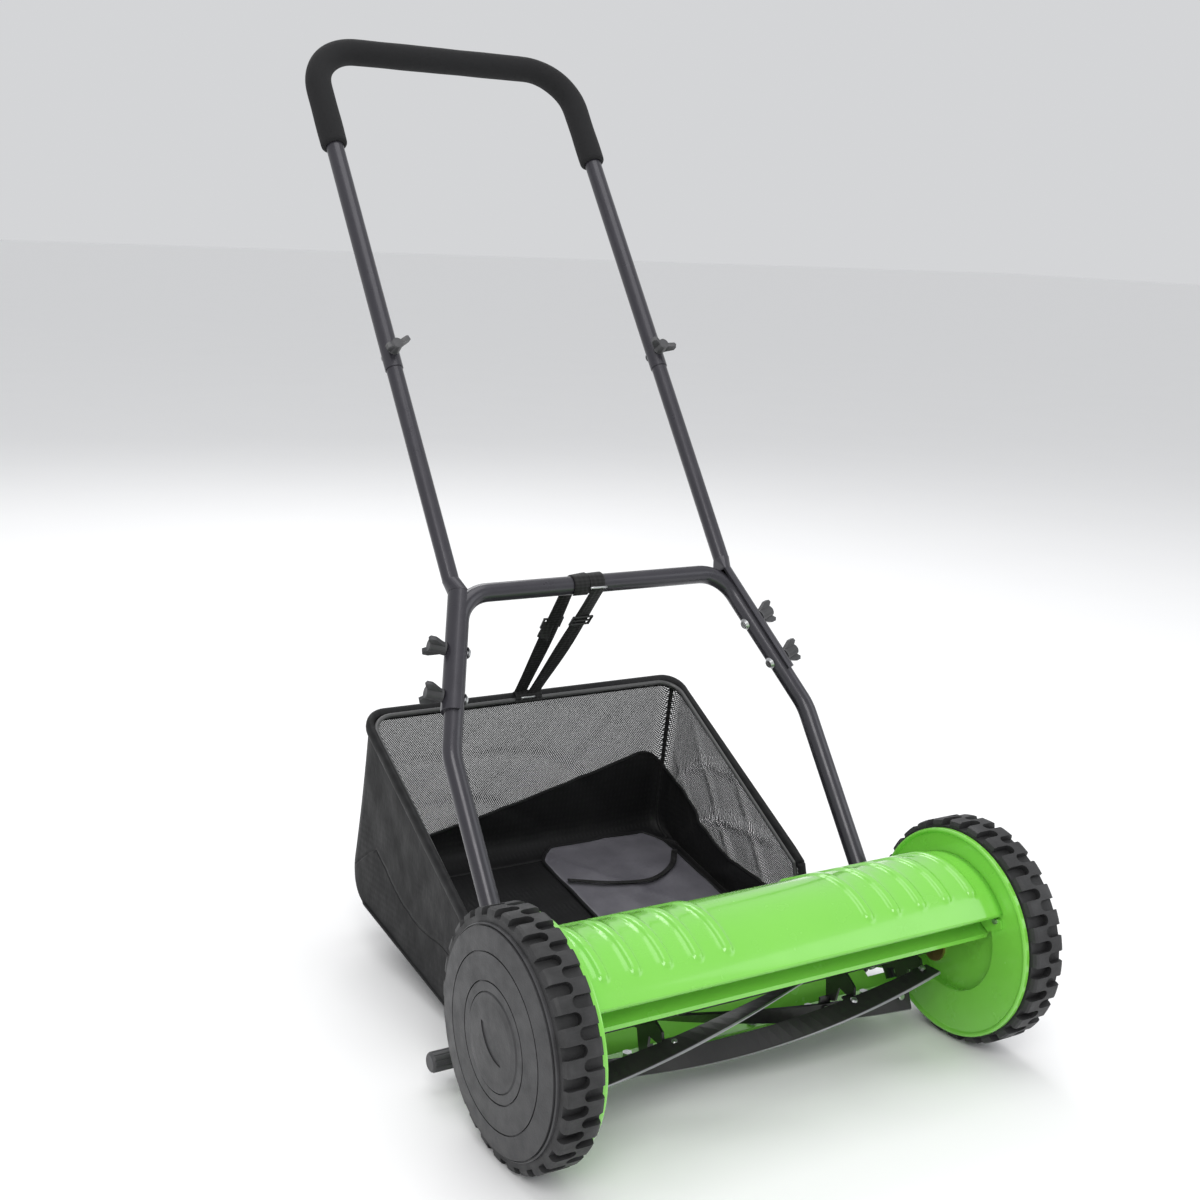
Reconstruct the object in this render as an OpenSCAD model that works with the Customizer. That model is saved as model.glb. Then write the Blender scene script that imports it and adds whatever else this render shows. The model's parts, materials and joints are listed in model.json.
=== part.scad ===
// Push reel mower with a cloth grass catcher.
// Millimetres. The origin is on the ground, midway between the wheels and under their axle.
// +Z is up, -Y is the mowing direction and +X is to the left of the person pushing.
// Profiles are drawn as [y, z] points and run along X. "Outward" means away from the middle.

/* [Wheels] */
// Diameter over the tread lugs
wheel_d = 220; // [218:1:222]
// Distance from the middle to the inner face of a tyre
tyre_x = 232.5; // [232:0.5:234]
// Width of a tyre
tyre_w = 36; // [34:1:38]
// Tread slots in each of the two staggered rows
tread_slots = 28; // [24:2:32]
// Depth of a tread slot
slot_depth = 6.5; // [4:0.5:8]
// Diameter of a wheel axle
axle_d = 12; // [10:1:12]

/* [Drive] */
// Gear module of the ring gear and the pinion
gear_module = 2; // [2:0.1:2]
// Teeth of the ring gear inside each wheel
ring_teeth = 48; // [48:1:48]
// Teeth of each pinion
pinion_teeth = 10; // [10:1:10]

/* [Cutting reel] */
// Radius at the cutting edges
reel_r = 55; // [52:0.5:55]
// Number of blades
blade_count = 5; // [4:1:6]
// Half of the reel's length
reel_half = 193; // [180:1:194]
// Turn of a blade for each millimetre of width, in degrees
blade_twist = 0.29; // [0.15:0.01:0.35]
// Turn of the whole reel as it stands, in degrees
reel_phase = 161; // [0:1:360]

/* [Body] */
// Radius of the round side plates
plate_r = 101.9; // [100:0.1:102]
// Distance from the middle to the inner face of a side plate
plate_x = 228; // [227.5:0.5:228]
// Outer radius of the cover over the reel
cover_r = 80; // [78:0.5:82]
// Height of the pressed ribs on the cover
rib_h = 2.5; // [1:0.5:3]
// Diameter of the ground roller
roller_d = 36; // [34:1:38]

/* [Handle] */
// Angle of the handle above the ground, in degrees
handle_angle = 54; // [52:0.5:56]
// Outer diameter of the lower and upper handle tubes
tube_od = 19; // [18:0.5:19]
// Outer diameter of the two middle tubes
mid_od = 17; // [16.5:0.5:17]
// Wall of every tube
tube_wall = 1.2; // [1:0.1:1.2]
// Distance from the pivot to the lower crossbar
crossbar_s = 434; // [430:1:440]
// Distance from the pivot to the joint of the middle and upper tubes
joint_s = 688; // [660:1:700]
// Distance from the pivot to the top bar
top_s = 1096; // [1060:1:1110]
// Outer diameter of the foam grip
foam_od = 29; // [26:1:32]

/* [Catcher] */
// Half of the width of the bag
bag_half = 198; // [190:1:198]
// Thickness of the bag wall
bag_t = 2.5; // [2:0.5:3]
// Diameter of the wire frame in the bag
wire_d = 5; // [4:0.5:6]
// Width of a strap
strap_w = 18; // [15:1:18]

/* [Hidden] */
$fn = 64;
eps = 0.01;
fit = 0.05;          // radial clearance of a running fit
tube_lap = 0.5;      // how far a straight tube runs into an elbow
elbow_extra = 0.08;  // how much thicker an elbow is
axle_z = wheel_d / 2;
LEFT = 1;
RIGHT = -1;

// wheel and drive, as distances from the middle
rim_r = 98;
rim_t = 4;
web_in_x = 271;
face_x = 275.8;
ring_x = 246.5;
ring_w = 12;
gear_gap = gear_module * (ring_teeth - pinion_teeth) / 2;
reel_dir = -45;      // direction of the reel's axis from the wheel axle, in degrees
reel_yz = [gear_gap * cos(reel_dir), axle_z + gear_gap * sin(reel_dir)];
ring_out_r = 54;
journal_r = 5;
cup_r = 59.4;
cup_depth = 8;
sheet = 2;
cup_x = plate_x + cup_depth;       // inner face of the dished middle of a side plate
spoke_count = 6;

// body
lip_deg = 147;
slope_deg = 63;
slope_len = 50;
rib_x = [78, 109, 140, 171, 202];
rib_r = 5.5;
pivot = [60, axle_z - 49.7];
arm_x = 208.4;
knob_yz = [126, 30];
bracket_pivot = [92, 52];
roller_yz = [138, roller_d / 2];
bracket_x = plate_x - 4.7;
bracket_t = 2.5;
swing_deg = 12;
hook_yz = [112, 53];
knife_z = reel_yz.y - reel_r - 3.3;
knife_t = 3;
carrier_t = 2.5;
apron_half = 196;
pin_d = 8;
bolt_d = 6;
screw_d = 5;
screw_spots = [[cos(80) * 71, axle_z + sin(80) * 71], [cos(135) * 71, axle_z + sin(135) * 71],
               [54, 35.6], [66, 44], [-60, 145]];

// handle, in its own plane: [x, distance from the pivot]
arm_end_s = -18;
bend_s = 274.4;
bar_x = 155.3;
kink = [162, 450];
saddle_s = 314.8;
saddle_r = 12.9;
knob_s = [329, 375.6];
swage_len = 58;
foam_s = 964;
joint_bolt_s = joint_s + 18;
arm_line = [bar_x - arm_x, crossbar_s - bend_s];
lower_run = [[arm_x, arm_end_s], [arm_x, bend_s], [bar_x, crossbar_s],
             [-bar_x, crossbar_s], [-arm_x, bend_s], [-arm_x, arm_end_s]];
upper_run = [[kink.x, joint_s], [kink.x, top_s], [-kink.x, top_s], [-kink.x, joint_s]];

// catcher, as [y, z]
bag_lip = [166, 13];
bag_floor = [238, 15];
bag_rear = [482, 60];
bag_rim = [453, 258];
bag_front = [195, 119];
bag_round = 30;
crossbar_yz = pivot + crossbar_s * [cos(handle_angle), sin(handle_angle)];
strap_end = bag_rim + [-3, 3];
strap_t = 1.6;

// ---------- helpers ----------

function unit(v) = v / norm(v);
function left_of(v) = [-v.y, v.x];
function dir(a) = [cos(a), sin(a)];
function heading(v) = atan2(v.y, v.x);
function cross2(a, b) = a.x * b.y - a.y * b.x;

// involute of a base circle, in degrees, at a pressure angle
function inv(a) = tan(a) * 180 / PI - a;
// half of the angle that a tooth takes up at radius r, with extra degrees added
function tooth_half(r, teeth, extra) =
    let(rb = gear_module * teeth / 2 * cos(20), a = r > rb ? acos(rb / r) : 0)
    90 / teeth + inv(20) - inv(a) + extra;
function gear_points(teeth, r_low, r_high, extra) = [
    for (i = [0 : teeth - 1]) for (p = [[-1, 0], [-1, 0.5], [-1, 1], [1, 1], [1, 0.5], [1, 0]])
        let(r = r_low + (r_high - r_low) * p[1])
        r * dir(i * 360 / teeth + p[0] * tooth_half(r, teeth, extra))];

// draw a [y, z] profile and run it along X from x0
module run_x(x0, len) {
    translate([x0, 0, 0]) rotate([90, 0, 90]) linear_extrude(len) children();
}

// turn a frame so that its Z runs along X through a [y, z] point
module along_x(yz, x0 = 0) {
    translate([x0, yz.x, yz.y]) rotate([90, 0, 90]) children();
}

module rod_x(yz, x0, len, d) {
    along_x(yz, x0) cylinder(d = d, h = len);
}

module hex_x(yz, x0, len, across) {
    along_x(yz, x0) cylinder(d = across / cos(30), h = len, $fn = 6);
}

module on_side(side) {
    if (side > 0) children();
    else mirror([1, 0, 0]) children();
}

module on_both_sides() {
    children();
    mirror([1, 0, 0]) children();
}

module ring(d_out, d_in, len) {
    difference() {
        cylinder(d = d_out, h = len);
        translate([0, 0, -1]) cylinder(d = d_in, h = len + 2);
    }
}

// flat link between two round ends
module link_2d(p, rp, q, rq) {
    n = left_of(unit(q - p));
    hair = 0.02;
    translate(p) circle(r = rp);
    translate(q) circle(r = rq);
    polygon([p + n * (rp - hair), q + n * (rq - hair), q - n * (rq - hair), p - n * (rp - hair)]);
}

// band of even thickness along a list of points, on their left side
module band_2d(points, t) {
    for (i = [0 : len(points) - 2]) {
        n = left_of(unit(points[i + 1] - points[i])) * t;
        polygon([points[i], points[i + 1], points[i + 1] + n, points[i] + n]);
    }
    for (i = [1 : len(points) - 2]) {
        n1 = left_of(unit(points[i] - points[i - 1])) * t;
        n2 = left_of(unit(points[i + 1] - points[i])) * t;
        polygon([points[i], points[i] + n1, points[i] + n2]);
    }
}

// tube, or rod if id is 0, along flat points with an elbow of radius bend at each inner point;
// an elbow is a hair thicker than the straight tubes, whose ends lie within its wall
module bent_tube(points, bends, od, id) {
    n = len(points);
    dirs = [for (i = [0 : n - 2]) unit(points[i + 1] - points[i])];
    turns = [for (i = [1 : n - 2]) asin(cross2(dirs[i - 1], dirs[i]))];
    cuts = [0, for (i = [0 : n - 3]) bends[i] * tan(abs(turns[i]) / 2), 0];
    for (i = [0 : n - 2]) {
        a = points[i] + dirs[i] * (i == 0 ? 0 : cuts[i] - tube_lap);
        b = points[i + 1] - dirs[i] * (i == n - 2 ? 0 : cuts[i + 1] - tube_lap);
        translate(a) rotate([0, 0, heading(dirs[i])]) rotate([0, 90, 0])
            linear_extrude(norm(b - a)) tube_2d(od, id);
    }
    for (i = [0 : n - 3]) {
        s = sign(turns[i]);
        start = points[i + 1] - dirs[i] * cuts[i + 1];
        centre = start + left_of(dirs[i]) * s * bends[i];
        first = heading(start - centre) + (s < 0 ? turns[i] : 0);
        translate(centre) rotate([0, 0, first]) rotate_extrude(angle = abs(turns[i]), $fn = 96)
            translate([bends[i], 0]) tube_2d(od + elbow_extra, max(0, id - elbow_extra));
    }
}

module tube_2d(od, id) {
    difference() {
        circle(d = od);
        if (id > 0) circle(d = id);
    }
}

// the handle's own plane: X stays, Y runs up the handle from the pivot, Z faces the front
module in_handle() {
    translate([0, pivot.x, pivot.y]) rotate([handle_angle, 0, 0]) children();
}

// frame of a cross bolt in the left arm, Z outward along the bolt, at distance s
module at_arm_bolt(s) {
    x = arm_x + arm_line.x * (s - bend_s) / arm_line.y;
    translate([x, s, 0]) rotate([0, 0, heading(arm_line) - 90]) rotate([0, 90, 0]) children();
}

module at_joint_bolt() {
    translate([kink.x, joint_bolt_s, 0]) children();
}

// ---------- wheels ----------

module tyre(side) {
    r = wheel_d / 2;
    slot_w = 10.5;
    slot_len = tyre_w * 0.56;
    pitch = 360 / tread_slots;
    chamfer = 2.5;
    color([0.25, 0.25, 0.26]) on_side(side) along_x([0, axle_z], tyre_x) difference() {
        rotate_extrude($fn = 180) polygon([
            [rim_r, 0], [r - 2 * chamfer, 0], [r - chamfer / 2, chamfer / 2], [r, chamfer * 1.6],
            [r, tyre_w - chamfer * 1.6], [r - chamfer / 2, tyre_w - chamfer / 2],
            [r - 2 * chamfer, tyre_w], [rim_r, tyre_w]]);
        for (i = [0 : tread_slots - 1]) {
            rotate([0, 0, i * pitch]) tread_slot(r - slot_depth, slot_w, slot_len);
            rotate([0, 0, (i + 0.5) * pitch]) translate([0, 0, tyre_w]) mirror([0, 0, 1])
                tread_slot(r - slot_depth, slot_w, slot_len);
        }
    }
}

module tread_slot(r, w, len) {
    straight = len - w / 2;
    translate([r, -w / 2, -1]) cube([slot_depth + 2, w, straight + 1]);
    translate([r, 0, straight]) rotate([0, 90, 0]) cylinder(d = w, h = slot_depth + 2, $fn = 32);
}

module wheel(side) {
    bore_r = axle_d / 2 + fit;
    hub_in = cup_x + sheet + 1.6;
    boss_r = 11;
    cap_r = 42.4;
    well_r = 16;
    groove = 1.3;
    face = [[rim_r - 0.05, 270.6], [96.9, 271.6], [96.9, 270.4], [96.9 - groove, 270.4],
            [96.9 - groove, 273], [75.9, face_x - 0.7], [75.9, face_x - 2], [75.9 - groove, face_x - 2],
            [75.9 - groove, face_x - 0.6], [51.6, face_x], [51.6, face_x - 1.4],
            [51.6 - groove, face_x - 1.4], [51.6 - groove, face_x], [cap_r, face_x],
            [cap_r, face_x - 1.4], [well_r, face_x - 1.4]];
    color([0.31, 0.31, 0.32]) on_side(side) along_x([0, axle_z]) {
        difference() {
            rotate_extrude($fn = 180) polygon(concat(
                [[bore_r, hub_in], [boss_r, hub_in], [boss_r, 257], [20, 257], [20, web_in_x],
                 [ring_out_r - 2, web_in_x], [ring_out_r - 2, ring_x + ring_w],
                 [ring_out_r + fit, ring_x + ring_w], [ring_out_r + fit, ring_x],
                 [ring_out_r + 3, ring_x], [ring_out_r + 3, web_in_x - 1],
                 [rim_r - rim_t, web_in_x - 3.5], [rim_r - rim_t, tyre_x + 1],
                 [rim_r - 0.05, tyre_x + 1]],
                face, [[well_r, 260], [bore_r, 260]]));
        }
        for (i = [0 : spoke_count - 1]) rotate([0, 0, (i + 0.5) * 360 / spoke_count])
            translate([ring_out_r + 2.5, -1.5, 258])
            cube([rim_r - rim_t - ring_out_r - 2.5 + 0.5, 3, web_in_x - 3.4 - 258]);
    }
}

module ring_gear(side) {
    tip_r = gear_module * ring_teeth / 2 - gear_module * 0.5;
    root_r = gear_module * ring_teeth / 2 + gear_module * 1.3;
    color([0.2, 0.2, 0.21]) on_side(side) along_x([0, axle_z], ring_x) linear_extrude(ring_w)
        difference() {
            circle(r = ring_out_r, $fn = 128);
            rotate(reel_dir) polygon(gear_points(ring_teeth, tip_r, root_r, 0.12));
        }
}

module hub_cap(side) {
    cap_r = 42;
    base = face_x - 1.35;
    lens_r = 34;
    lens_gap = 25.5;
    lens_tilt = 37;
    lens_depth = 1.1;
    color([0.32, 0.32, 0.33]) on_side(side) along_x([0, axle_z]) difference() {
        union() {
            rotate_extrude($fn = 128) polygon([[0, base], [cap_r, base], [cap_r, base + 0.8],
                [cap_r - 1.2, base + 2.2], [34, base + 2.9], [20, base + 3.4], [0, base + 3.6]]);
            translate([0, 0, base - 7]) ring(31.8, 26, 7 + eps);
        }
        rotate(lens_tilt) translate([0, 0, base + 3.6 - lens_depth]) intersection() {
            translate([0, lens_gap, 0]) cylinder(r = lens_r, h = 4);
            translate([0, -lens_gap, 0]) cylinder(r = lens_r, h = 4);
        }
    }
}

module axle(side) {
    color("silver") on_side(side) difference() {
        union() {
            rod_x([0, axle_z], cup_x - 1, 265 - cup_x, axle_d);
            hex_x([0, axle_z], cup_x - 7, 7 - fit, 19);
        }
        along_x([0, axle_z], 260.3) ring(axle_d + 4, axle_d - 1.2, 1.2);
    }
}

module axle_washers() {
    color("silver") on_both_sides() along_x([0, axle_z], cup_x + sheet + 0.1)
        ring(24, axle_d + 0.4, 1.3);
}

module axle_clips() {
    color("silver") on_both_sides() along_x([0, axle_z], 260.4)
        ring(axle_d + 7, axle_d - 1, 1);
}

// ---------- drive and reel ----------

module pinion(side) {
    pitch_r = gear_module * pinion_teeth / 2;
    tip_r = pitch_r + gear_module * 1.05;
    root_r = pitch_r - gear_module * 1.2;
    hub_x = cup_x + sheet + 2;
    hub_len = ring_x - 0.5 - hub_x;
    pocket_r = 8.2;
    pocket_len = 4.8;
    notch = [4.4, 3.4];
    color([0.45, 0.45, 0.47]) on_side(side) along_x(reel_yz, hub_x) difference() {
        union() {
            translate([0, 0, ring_x + 1 - hub_x]) linear_extrude(ring_w - 2)
                rotate(reel_dir) polygon(gear_points(pinion_teeth, root_r, tip_r, -0.5));
            cylinder(r = root_r - 0.1, h = ring_x + 2 - hub_x);
            cylinder(r = 11, h = hub_len);
        }
        translate([0, 0, -1]) cylinder(r = journal_r + fit, h = 30);
        translate([0, 0, -1]) cylinder(r = pocket_r, h = pocket_len + 1);
        for (a = [0 : 90 : 270]) rotate(a)
            translate([pocket_r - 2, -notch.x / 2, -1]) cube([notch.y, notch.x, pocket_len + 1]);
    }
}

module pawl(side) {
    half = 7.4;
    color([0.6, 0.6, 0.62]) on_side(side) along_x(reel_yz, cup_x + sheet + 2.9)
        translate([-half, -1.5, 0]) cube([2 * half, 3, 3.6]);
}

module reel_shaft() {
    color([0.15, 0.15, 0.16]) difference() {
        union() {
            rod_x(reel_yz, -(plate_x + 3), 2 * (plate_x + 3), 12);
            rod_x(reel_yz, -260.4, 520.8, 2 * journal_r);
        }
        on_both_sides() {
            along_x(reel_yz, cup_x + sheet + 2.7) translate([-20, -1.55, 0]) cube([40, 3.1, 4]);
            along_x(reel_yz, 258.2) ring(14, 2 * journal_r - 1, 1.1);
        }
    }
}

module reel_clips() {
    color("silver") on_both_sides() along_x(reel_yz, 258.3) ring(15, 2 * journal_r - 0.9, 0.9);
}

module reel_bearing(side) {
    color([0.5, 0.42, 0.3]) on_side(side) along_x(reel_yz, cup_x) difference() {
        union() {
            translate([0, 0, -2.6]) cylinder(r = 15, h = 2.55);
            translate([0, 0, -0.1]) cylinder(r = 11, h = sheet + 1);
        }
        translate([0, 0, -5]) cylinder(r = journal_r + fit, h = 20);
    }
}

blade_in_r = 35;
blade_t = 2.6;
spider_x = [-190, -109, 109, 190];
function blade_angle(i, x) = reel_phase - blade_twist * x + i * 360 / blade_count;

// one blade as a twisted strip: its section is turned a little at every station along X
module blade(i) {
    section = [[blade_in_r, -blade_t / 2], [reel_r - 1.5, -blade_t / 2], [reel_r, 0.3],
               [reel_r, blade_t / 2], [blade_in_r, blade_t / 2]];
    n = len(section);
    steps = 36;
    last = steps * n;
    points = [for (k = [0 : steps]) for (p = section)
        let(x = (2 * k / steps - 1) * reel_half, a = blade_angle(i, x))
        [x, p.x * cos(a) - p.y * sin(a), p.x * sin(a) + p.y * cos(a)]];
    ends = [[for (j = [0 : n - 1]) n - 1 - j], [for (j = [0 : n - 1]) last + j]];
    sides = [for (k = [0 : steps - 1]) for (j = [0 : n - 1]) for (half = [0, 1])
        let(a = k * n + j, b = k * n + (j + 1) % n)
        half == 0 ? [a, b, b + n] : [a, b + n, a + n]];
    translate([0, reel_yz.x, reel_yz.y]) polyhedron(points, concat(ends, sides), 4);
}

module reel_blades() {
    color([0.13, 0.13, 0.14]) for (i = [0 : blade_count - 1]) blade(i);
}

// stamped star plates with a bent tab behind each blade
module reel_spiders() {
    plate_t = 2.5;
    tab = [16.6, 2.1, 12.7];
    arm = [[8, -11], [30, -6], [34, 2.9], [46, 2.9], [46, 5.3], [8, 11]];
    color([0.12, 0.12, 0.13]) for (x = spider_x) along_x(reel_yz, x - plate_t / 2) {
        linear_extrude(plate_t) difference() {
            union() {
                circle(r = 17);
                for (i = [0 : blade_count - 1]) rotate(blade_angle(i, x)) polygon(arm);
            }
            circle(r = 6.02);
        }
        for (i = [0 : blade_count - 1]) rotate(blade_angle(i, x))
            translate([29, 3.05, x > 0 ? plate_t - 0.3 - tab.z : 0.3]) cube(tab);
    }
}

module blade_rivets() {
    color("silver") for (x = spider_x) for (i = [0 : blade_count - 1])
        along_x(reel_yz, x + (x > 0 ? -7 : 7)) rotate(blade_angle(i, x)) translate([40, 7, 0])
        rotate([90, 0, 0]) {
            cylinder(d = 4, h = 9.6, $fn = 24);
            translate([0, 0, 8.8]) cylinder(d1 = 7.5, d2 = 5, h = 1.5, $fn = 24);
        }
}

// ---------- body ----------

module side_plate(side) {
    roll = 2;
    tail_inset = 0.15;
    color([0.42, 0.85, 0.2]) on_side(side) difference() {
        union() {
            along_x([0, axle_z]) rotate_extrude($fn = 180) polygon([
                [0, cup_x], [cup_r - sheet, cup_x], [cup_r - sheet, plate_x + sheet],
                [cup_r - sheet, plate_x + 0.6], [cup_r - sheet + 0.6, plate_x],
                [plate_r - 5, plate_x], [plate_r - 3.4, plate_x - roll + 0.3],
                [plate_r - 2, plate_x - roll], [plate_r - 0.4, plate_x - roll + 0.6],
                [plate_r, plate_x - roll + 2], [plate_r, plate_x + sheet + 1.2],
                [plate_r - 2, plate_x + sheet + 1.2], [plate_r - 2.4, plate_x + sheet],
                [cup_r, plate_x + sheet], [cup_r, cup_x + sheet], [0, cup_x + sheet]]);
            run_x(plate_x + tail_inset, sheet - 2 * tail_inset)
                link_2d(bracket_pivot + [-8, 4], 20, knob_yz, 8.5);
        }
        rod_x([0, axle_z], 200, 60, axle_d + 0.1);
        rod_x(reel_yz, 200, 60, 22.1);
        rod_x(pivot, 200, 60, pin_d + 0.1);
        rod_x(stop_yz, 200, 60, pin_d + 0.1);
        rod_x(bracket_pivot, 200, 60, pin_d + 0.1);
        rod_x(knob_yz, 200, 60, bolt_d + 0.1);
        for (p = screw_spots) rod_x(p, 200, 60, screw_d + 0.1);
    }
}

stop_yz = pivot + (arm_end_s + 4) * dir(handle_angle)
    + (tube_od / 2 + pin_d / 2 + 0.3) * dir(handle_angle + 90);

module top_cover() {
    t = 1.5;
    half = plate_x - 0.1;
    inset = 0.2;
    flange = [64, 1.5];
    slope_from = [cover_r * cos(slope_deg), axle_z + cover_r * sin(slope_deg)];
    slope_dir = dir(slope_deg - 90);
    color([0.45, 0.92, 0.22]) difference() {
        union() {
            run_x(-half, 2 * half) cover_2d(t, slope_from, slope_dir);
            on_both_sides() along_x([0, axle_z], half - inset - flange.y) rotate(slope_deg + 1)
                rotate_extrude(angle = lip_deg - slope_deg - 5)
                translate([flange.x, 0]) square([cover_r - t / 2 - flange.x, flange.y]);
            for (x = rib_x) on_both_sides() cover_rib(x, slope_from, slope_dir);
        }
        on_both_sides() for (i = [0, 1]) rod_x(screw_spots[i], 200, 60, screw_d + 0.1);
    }
}

// section of the cover: a round hood, a straight back with a flange, and a hem at the lip
module cover_2d(t, slope_from, slope_dir) {
    hair = 0.03;
    down = -left_of(slope_dir);
    slope_to = slope_from + slope_dir * slope_len + down * hair;
    lip = [0, axle_z] + (cover_r - t / 3) * dir(lip_deg - 0.3);
    far = 3 * cover_r;
    translate([0, axle_z]) difference() {
        circle(r = cover_r, $fn = 180);
        circle(r = cover_r - t, $fn = 180);
        polygon([[0, 0], far * dir(lip_deg), far * dir(210), far * dir(300), far * dir(slope_deg)]);
    }
    band_2d([slope_to + 7 * dir(-110), slope_to, slope_from - slope_dir + down * hair], t);
    band_2d([lip + 7 * dir(lip_deg + 180), lip], t);
}

// pressed rib: a low bead with sloping sides that runs over the cover and down its back
module cover_rib(x, slope_from, slope_dir) {
    root = rib_r + 0.6;
    crown = rib_r - 1.6;
    along_x([0, axle_z], x) rotate(slope_deg + 4) rotate_extrude(angle = 60, $fn = 180)
        polygon([[cover_r - 0.6, -root], [cover_r + rib_h, -crown],
                 [cover_r + rib_h, crown], [cover_r - 0.6, root]]);
    up = left_of(slope_dir);
    from = slope_from + slope_dir * 4;
    run_x(x - crown, 2 * crown) polygon([from - up, from + up * rib_h,
        from + slope_dir * 36 + up * rib_h, from + slope_dir * 41 - up]);
}

module front_tie_bar() {
    half = plate_x - 0.1;
    path = [[-30, 151], [-40, 150], [-40, 136], [-50, 128.5], [-49, 124]];
    ear = [[-39, 148], [-66, 148], [-68, 140], [-52, 131], [-39, 138]];
    color([0.38, 0.78, 0.2]) difference() {
        union() {
            run_x(-half, 2 * half) band_2d(path, sheet);
            on_both_sides() run_x(half - 0.2 - sheet, sheet) polygon(ear);
        }
        on_both_sides() rod_x(screw_spots[4], 200, 60, screw_d + 0.1);
    }
}

module bed_knife() {
    color([0.55, 0.56, 0.58]) difference() {
        run_x(-reel_half - 1, 2 * reel_half + 2) polygon([[reel_yz.x - 0.5, knife_z + knife_t],
            [reel_yz.x + 1, knife_z], [62, knife_z], [62, knife_z + knife_t]]);
        knife_screw_spots() translate([0, 0, -5]) cylinder(d = 5.1, h = 20);
    }
}

module knife_screw_spots() {
    for (x = [-175 : 70 : 175]) translate([x, 57, knife_z]) children();
}

module knife_screws() {
    color("silver") knife_screw_spots() {
        cylinder(d = 5, h = knife_t + carrier_t + 1);
        translate([0, 0, -2]) cylinder(d1 = 6, d2 = 9, h = 2 - 0.02);
        translate([0, 0, knife_t + carrier_t + 0.05]) cylinder(d = 8 / cos(30), h = 3.6, $fn = 6);
    }
}

// folded plate that carries the knife, with an apron that leads the grass to the catcher
module knife_carrier() {
    half = plate_x - 2.2;
    base = knife_z + knife_t + 0.05;
    fold = [66, base];
    rise = [88, 41];
    path = [[49, base], fold, rise, [hook_yz.x, 45], hook_yz];
    ear = [[46, base + 0.2], [74, base + 0.2], [74, 50], [58, 50], [46, 43]];
    color([0.4, 0.82, 0.2]) difference() {
        union() {
            run_x(-half, 2 * half) band_2d(path, carrier_t);
            on_both_sides() run_x(half - 0.2 - sheet, sheet) polygon(ear);
        }
        on_both_sides() translate([apron_half, 76, base - 5]) cube([half, 50, 50]);
        knife_screw_spots() translate([0, 0, -5]) cylinder(d = 5.1, h = 20);
        on_both_sides() for (i = [2, 3]) rod_x(screw_spots[i], 200, 60, screw_d + 0.1);
    }
}

module frame_screws() {
    color("silver") on_both_sides() for (p = screw_spots) {
        rod_x(p, plate_x - 4.5, 6.5 + eps, screw_d);
        rod_x(p, plate_x + sheet + 0.02, 2, 9);
    }
}

// shoulder pins that the handle arms turn on, with the spacer tube on each
module pivot_pins() {
    color("silver") on_both_sides() {
        rod_x(pivot, 196.2, plate_x + sheet + 0.5 - 196.2, pin_d);
        rod_x(pivot, plate_x + sheet + 0.02, 2.1, 13);
    }
}

module pivot_spacers() {
    color([0.2, 0.2, 0.21]) on_both_sides()
        along_x(pivot, arm_x + tube_od / 2 + 0.35) ring(14, pin_d + 0.3,
            plate_x - arm_x - tube_od / 2 - 0.4);
}

module pivot_clips() {
    color("silver") on_both_sides() along_x(pivot, 197.3) ring(13, pin_d, 1.2);
}

module stop_pins() {
    color("silver") on_both_sides() {
        rod_x(stop_yz, 201, plate_x + sheet - 201, pin_d);
        rod_x(stop_yz, plate_x + sheet, 1.8, 12);
    }
}

// ---------- ground roller ----------

module roller_bracket(side) {
    slot_r = norm(knob_yz - bracket_pivot);
    mid = heading(knob_yz - bracket_pivot);
    slot_half = bolt_d / 2 + 0.2;
    color([0.35, 0.36, 0.37]) on_side(side) difference() {
        union() {
            run_x(bracket_x, bracket_t) link_2d(bracket_pivot, 12, roller_yz, 11);
            rod_x(knob_yz + [-1, 2], bracket_x, bracket_t, 36);
        }
        rod_x(bracket_pivot, 200, 60, pin_d + 0.1);
        rod_x(roller_yz, 200, 60, pin_d + 0.02);
        along_x(bracket_pivot, 200) {
            rotate(mid - swing_deg) rotate_extrude(angle = 2 * swing_deg)
                translate([slot_r - slot_half, 0]) square([2 * slot_half, 60]);
            for (a = [mid - swing_deg, mid + swing_deg])
                rotate(a) translate([slot_r, 0, 0]) cylinder(r = slot_half - 0.03, h = 60);
        }
    }
}

module bracket_pins() {
    color("silver") on_both_sides() {
        rod_x(bracket_pivot, bracket_x - 2.6, plate_x + sheet - bracket_x + 2.6, pin_d);
        rod_x(bracket_pivot, bracket_x - 2.6, 2.4, 13);
        rod_x(bracket_pivot, plate_x + sheet, 1.6, 12);
    }
}

module roller_axle() {
    outer = bracket_x + bracket_t;
    stub = 22;
    color("silver") {
        rod_x(roller_yz, -outer - stub, 2 * (outer + stub), pin_d);
        on_both_sides() {
            hex_x(roller_yz, outer + 0.02, 4.5, 13);
            hex_x(roller_yz, outer + 11, 5, 10);
        }
    }
}

module ground_roller() {
    half = 218;
    wall = 3.5;
    color([0.17, 0.17, 0.18]) along_x(roller_yz, -half) difference() {
        cylinder(d = roller_d, h = 2 * half);
        translate([0, 0, 8]) cylinder(d = roller_d - 2 * wall, h = 2 * half - 16);
        translate([0, 0, -1]) cylinder(d = pin_d + 2 * fit, h = 2 * half + 2);
    }
}

module height_bolts() {
    color("silver") on_both_sides() {
        rod_x(knob_yz, bracket_x - 0.1, 262 - bracket_x, bolt_d);
        rod_x(knob_yz, bracket_x - 2.6, 2.5, 13);
    }
}

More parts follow.
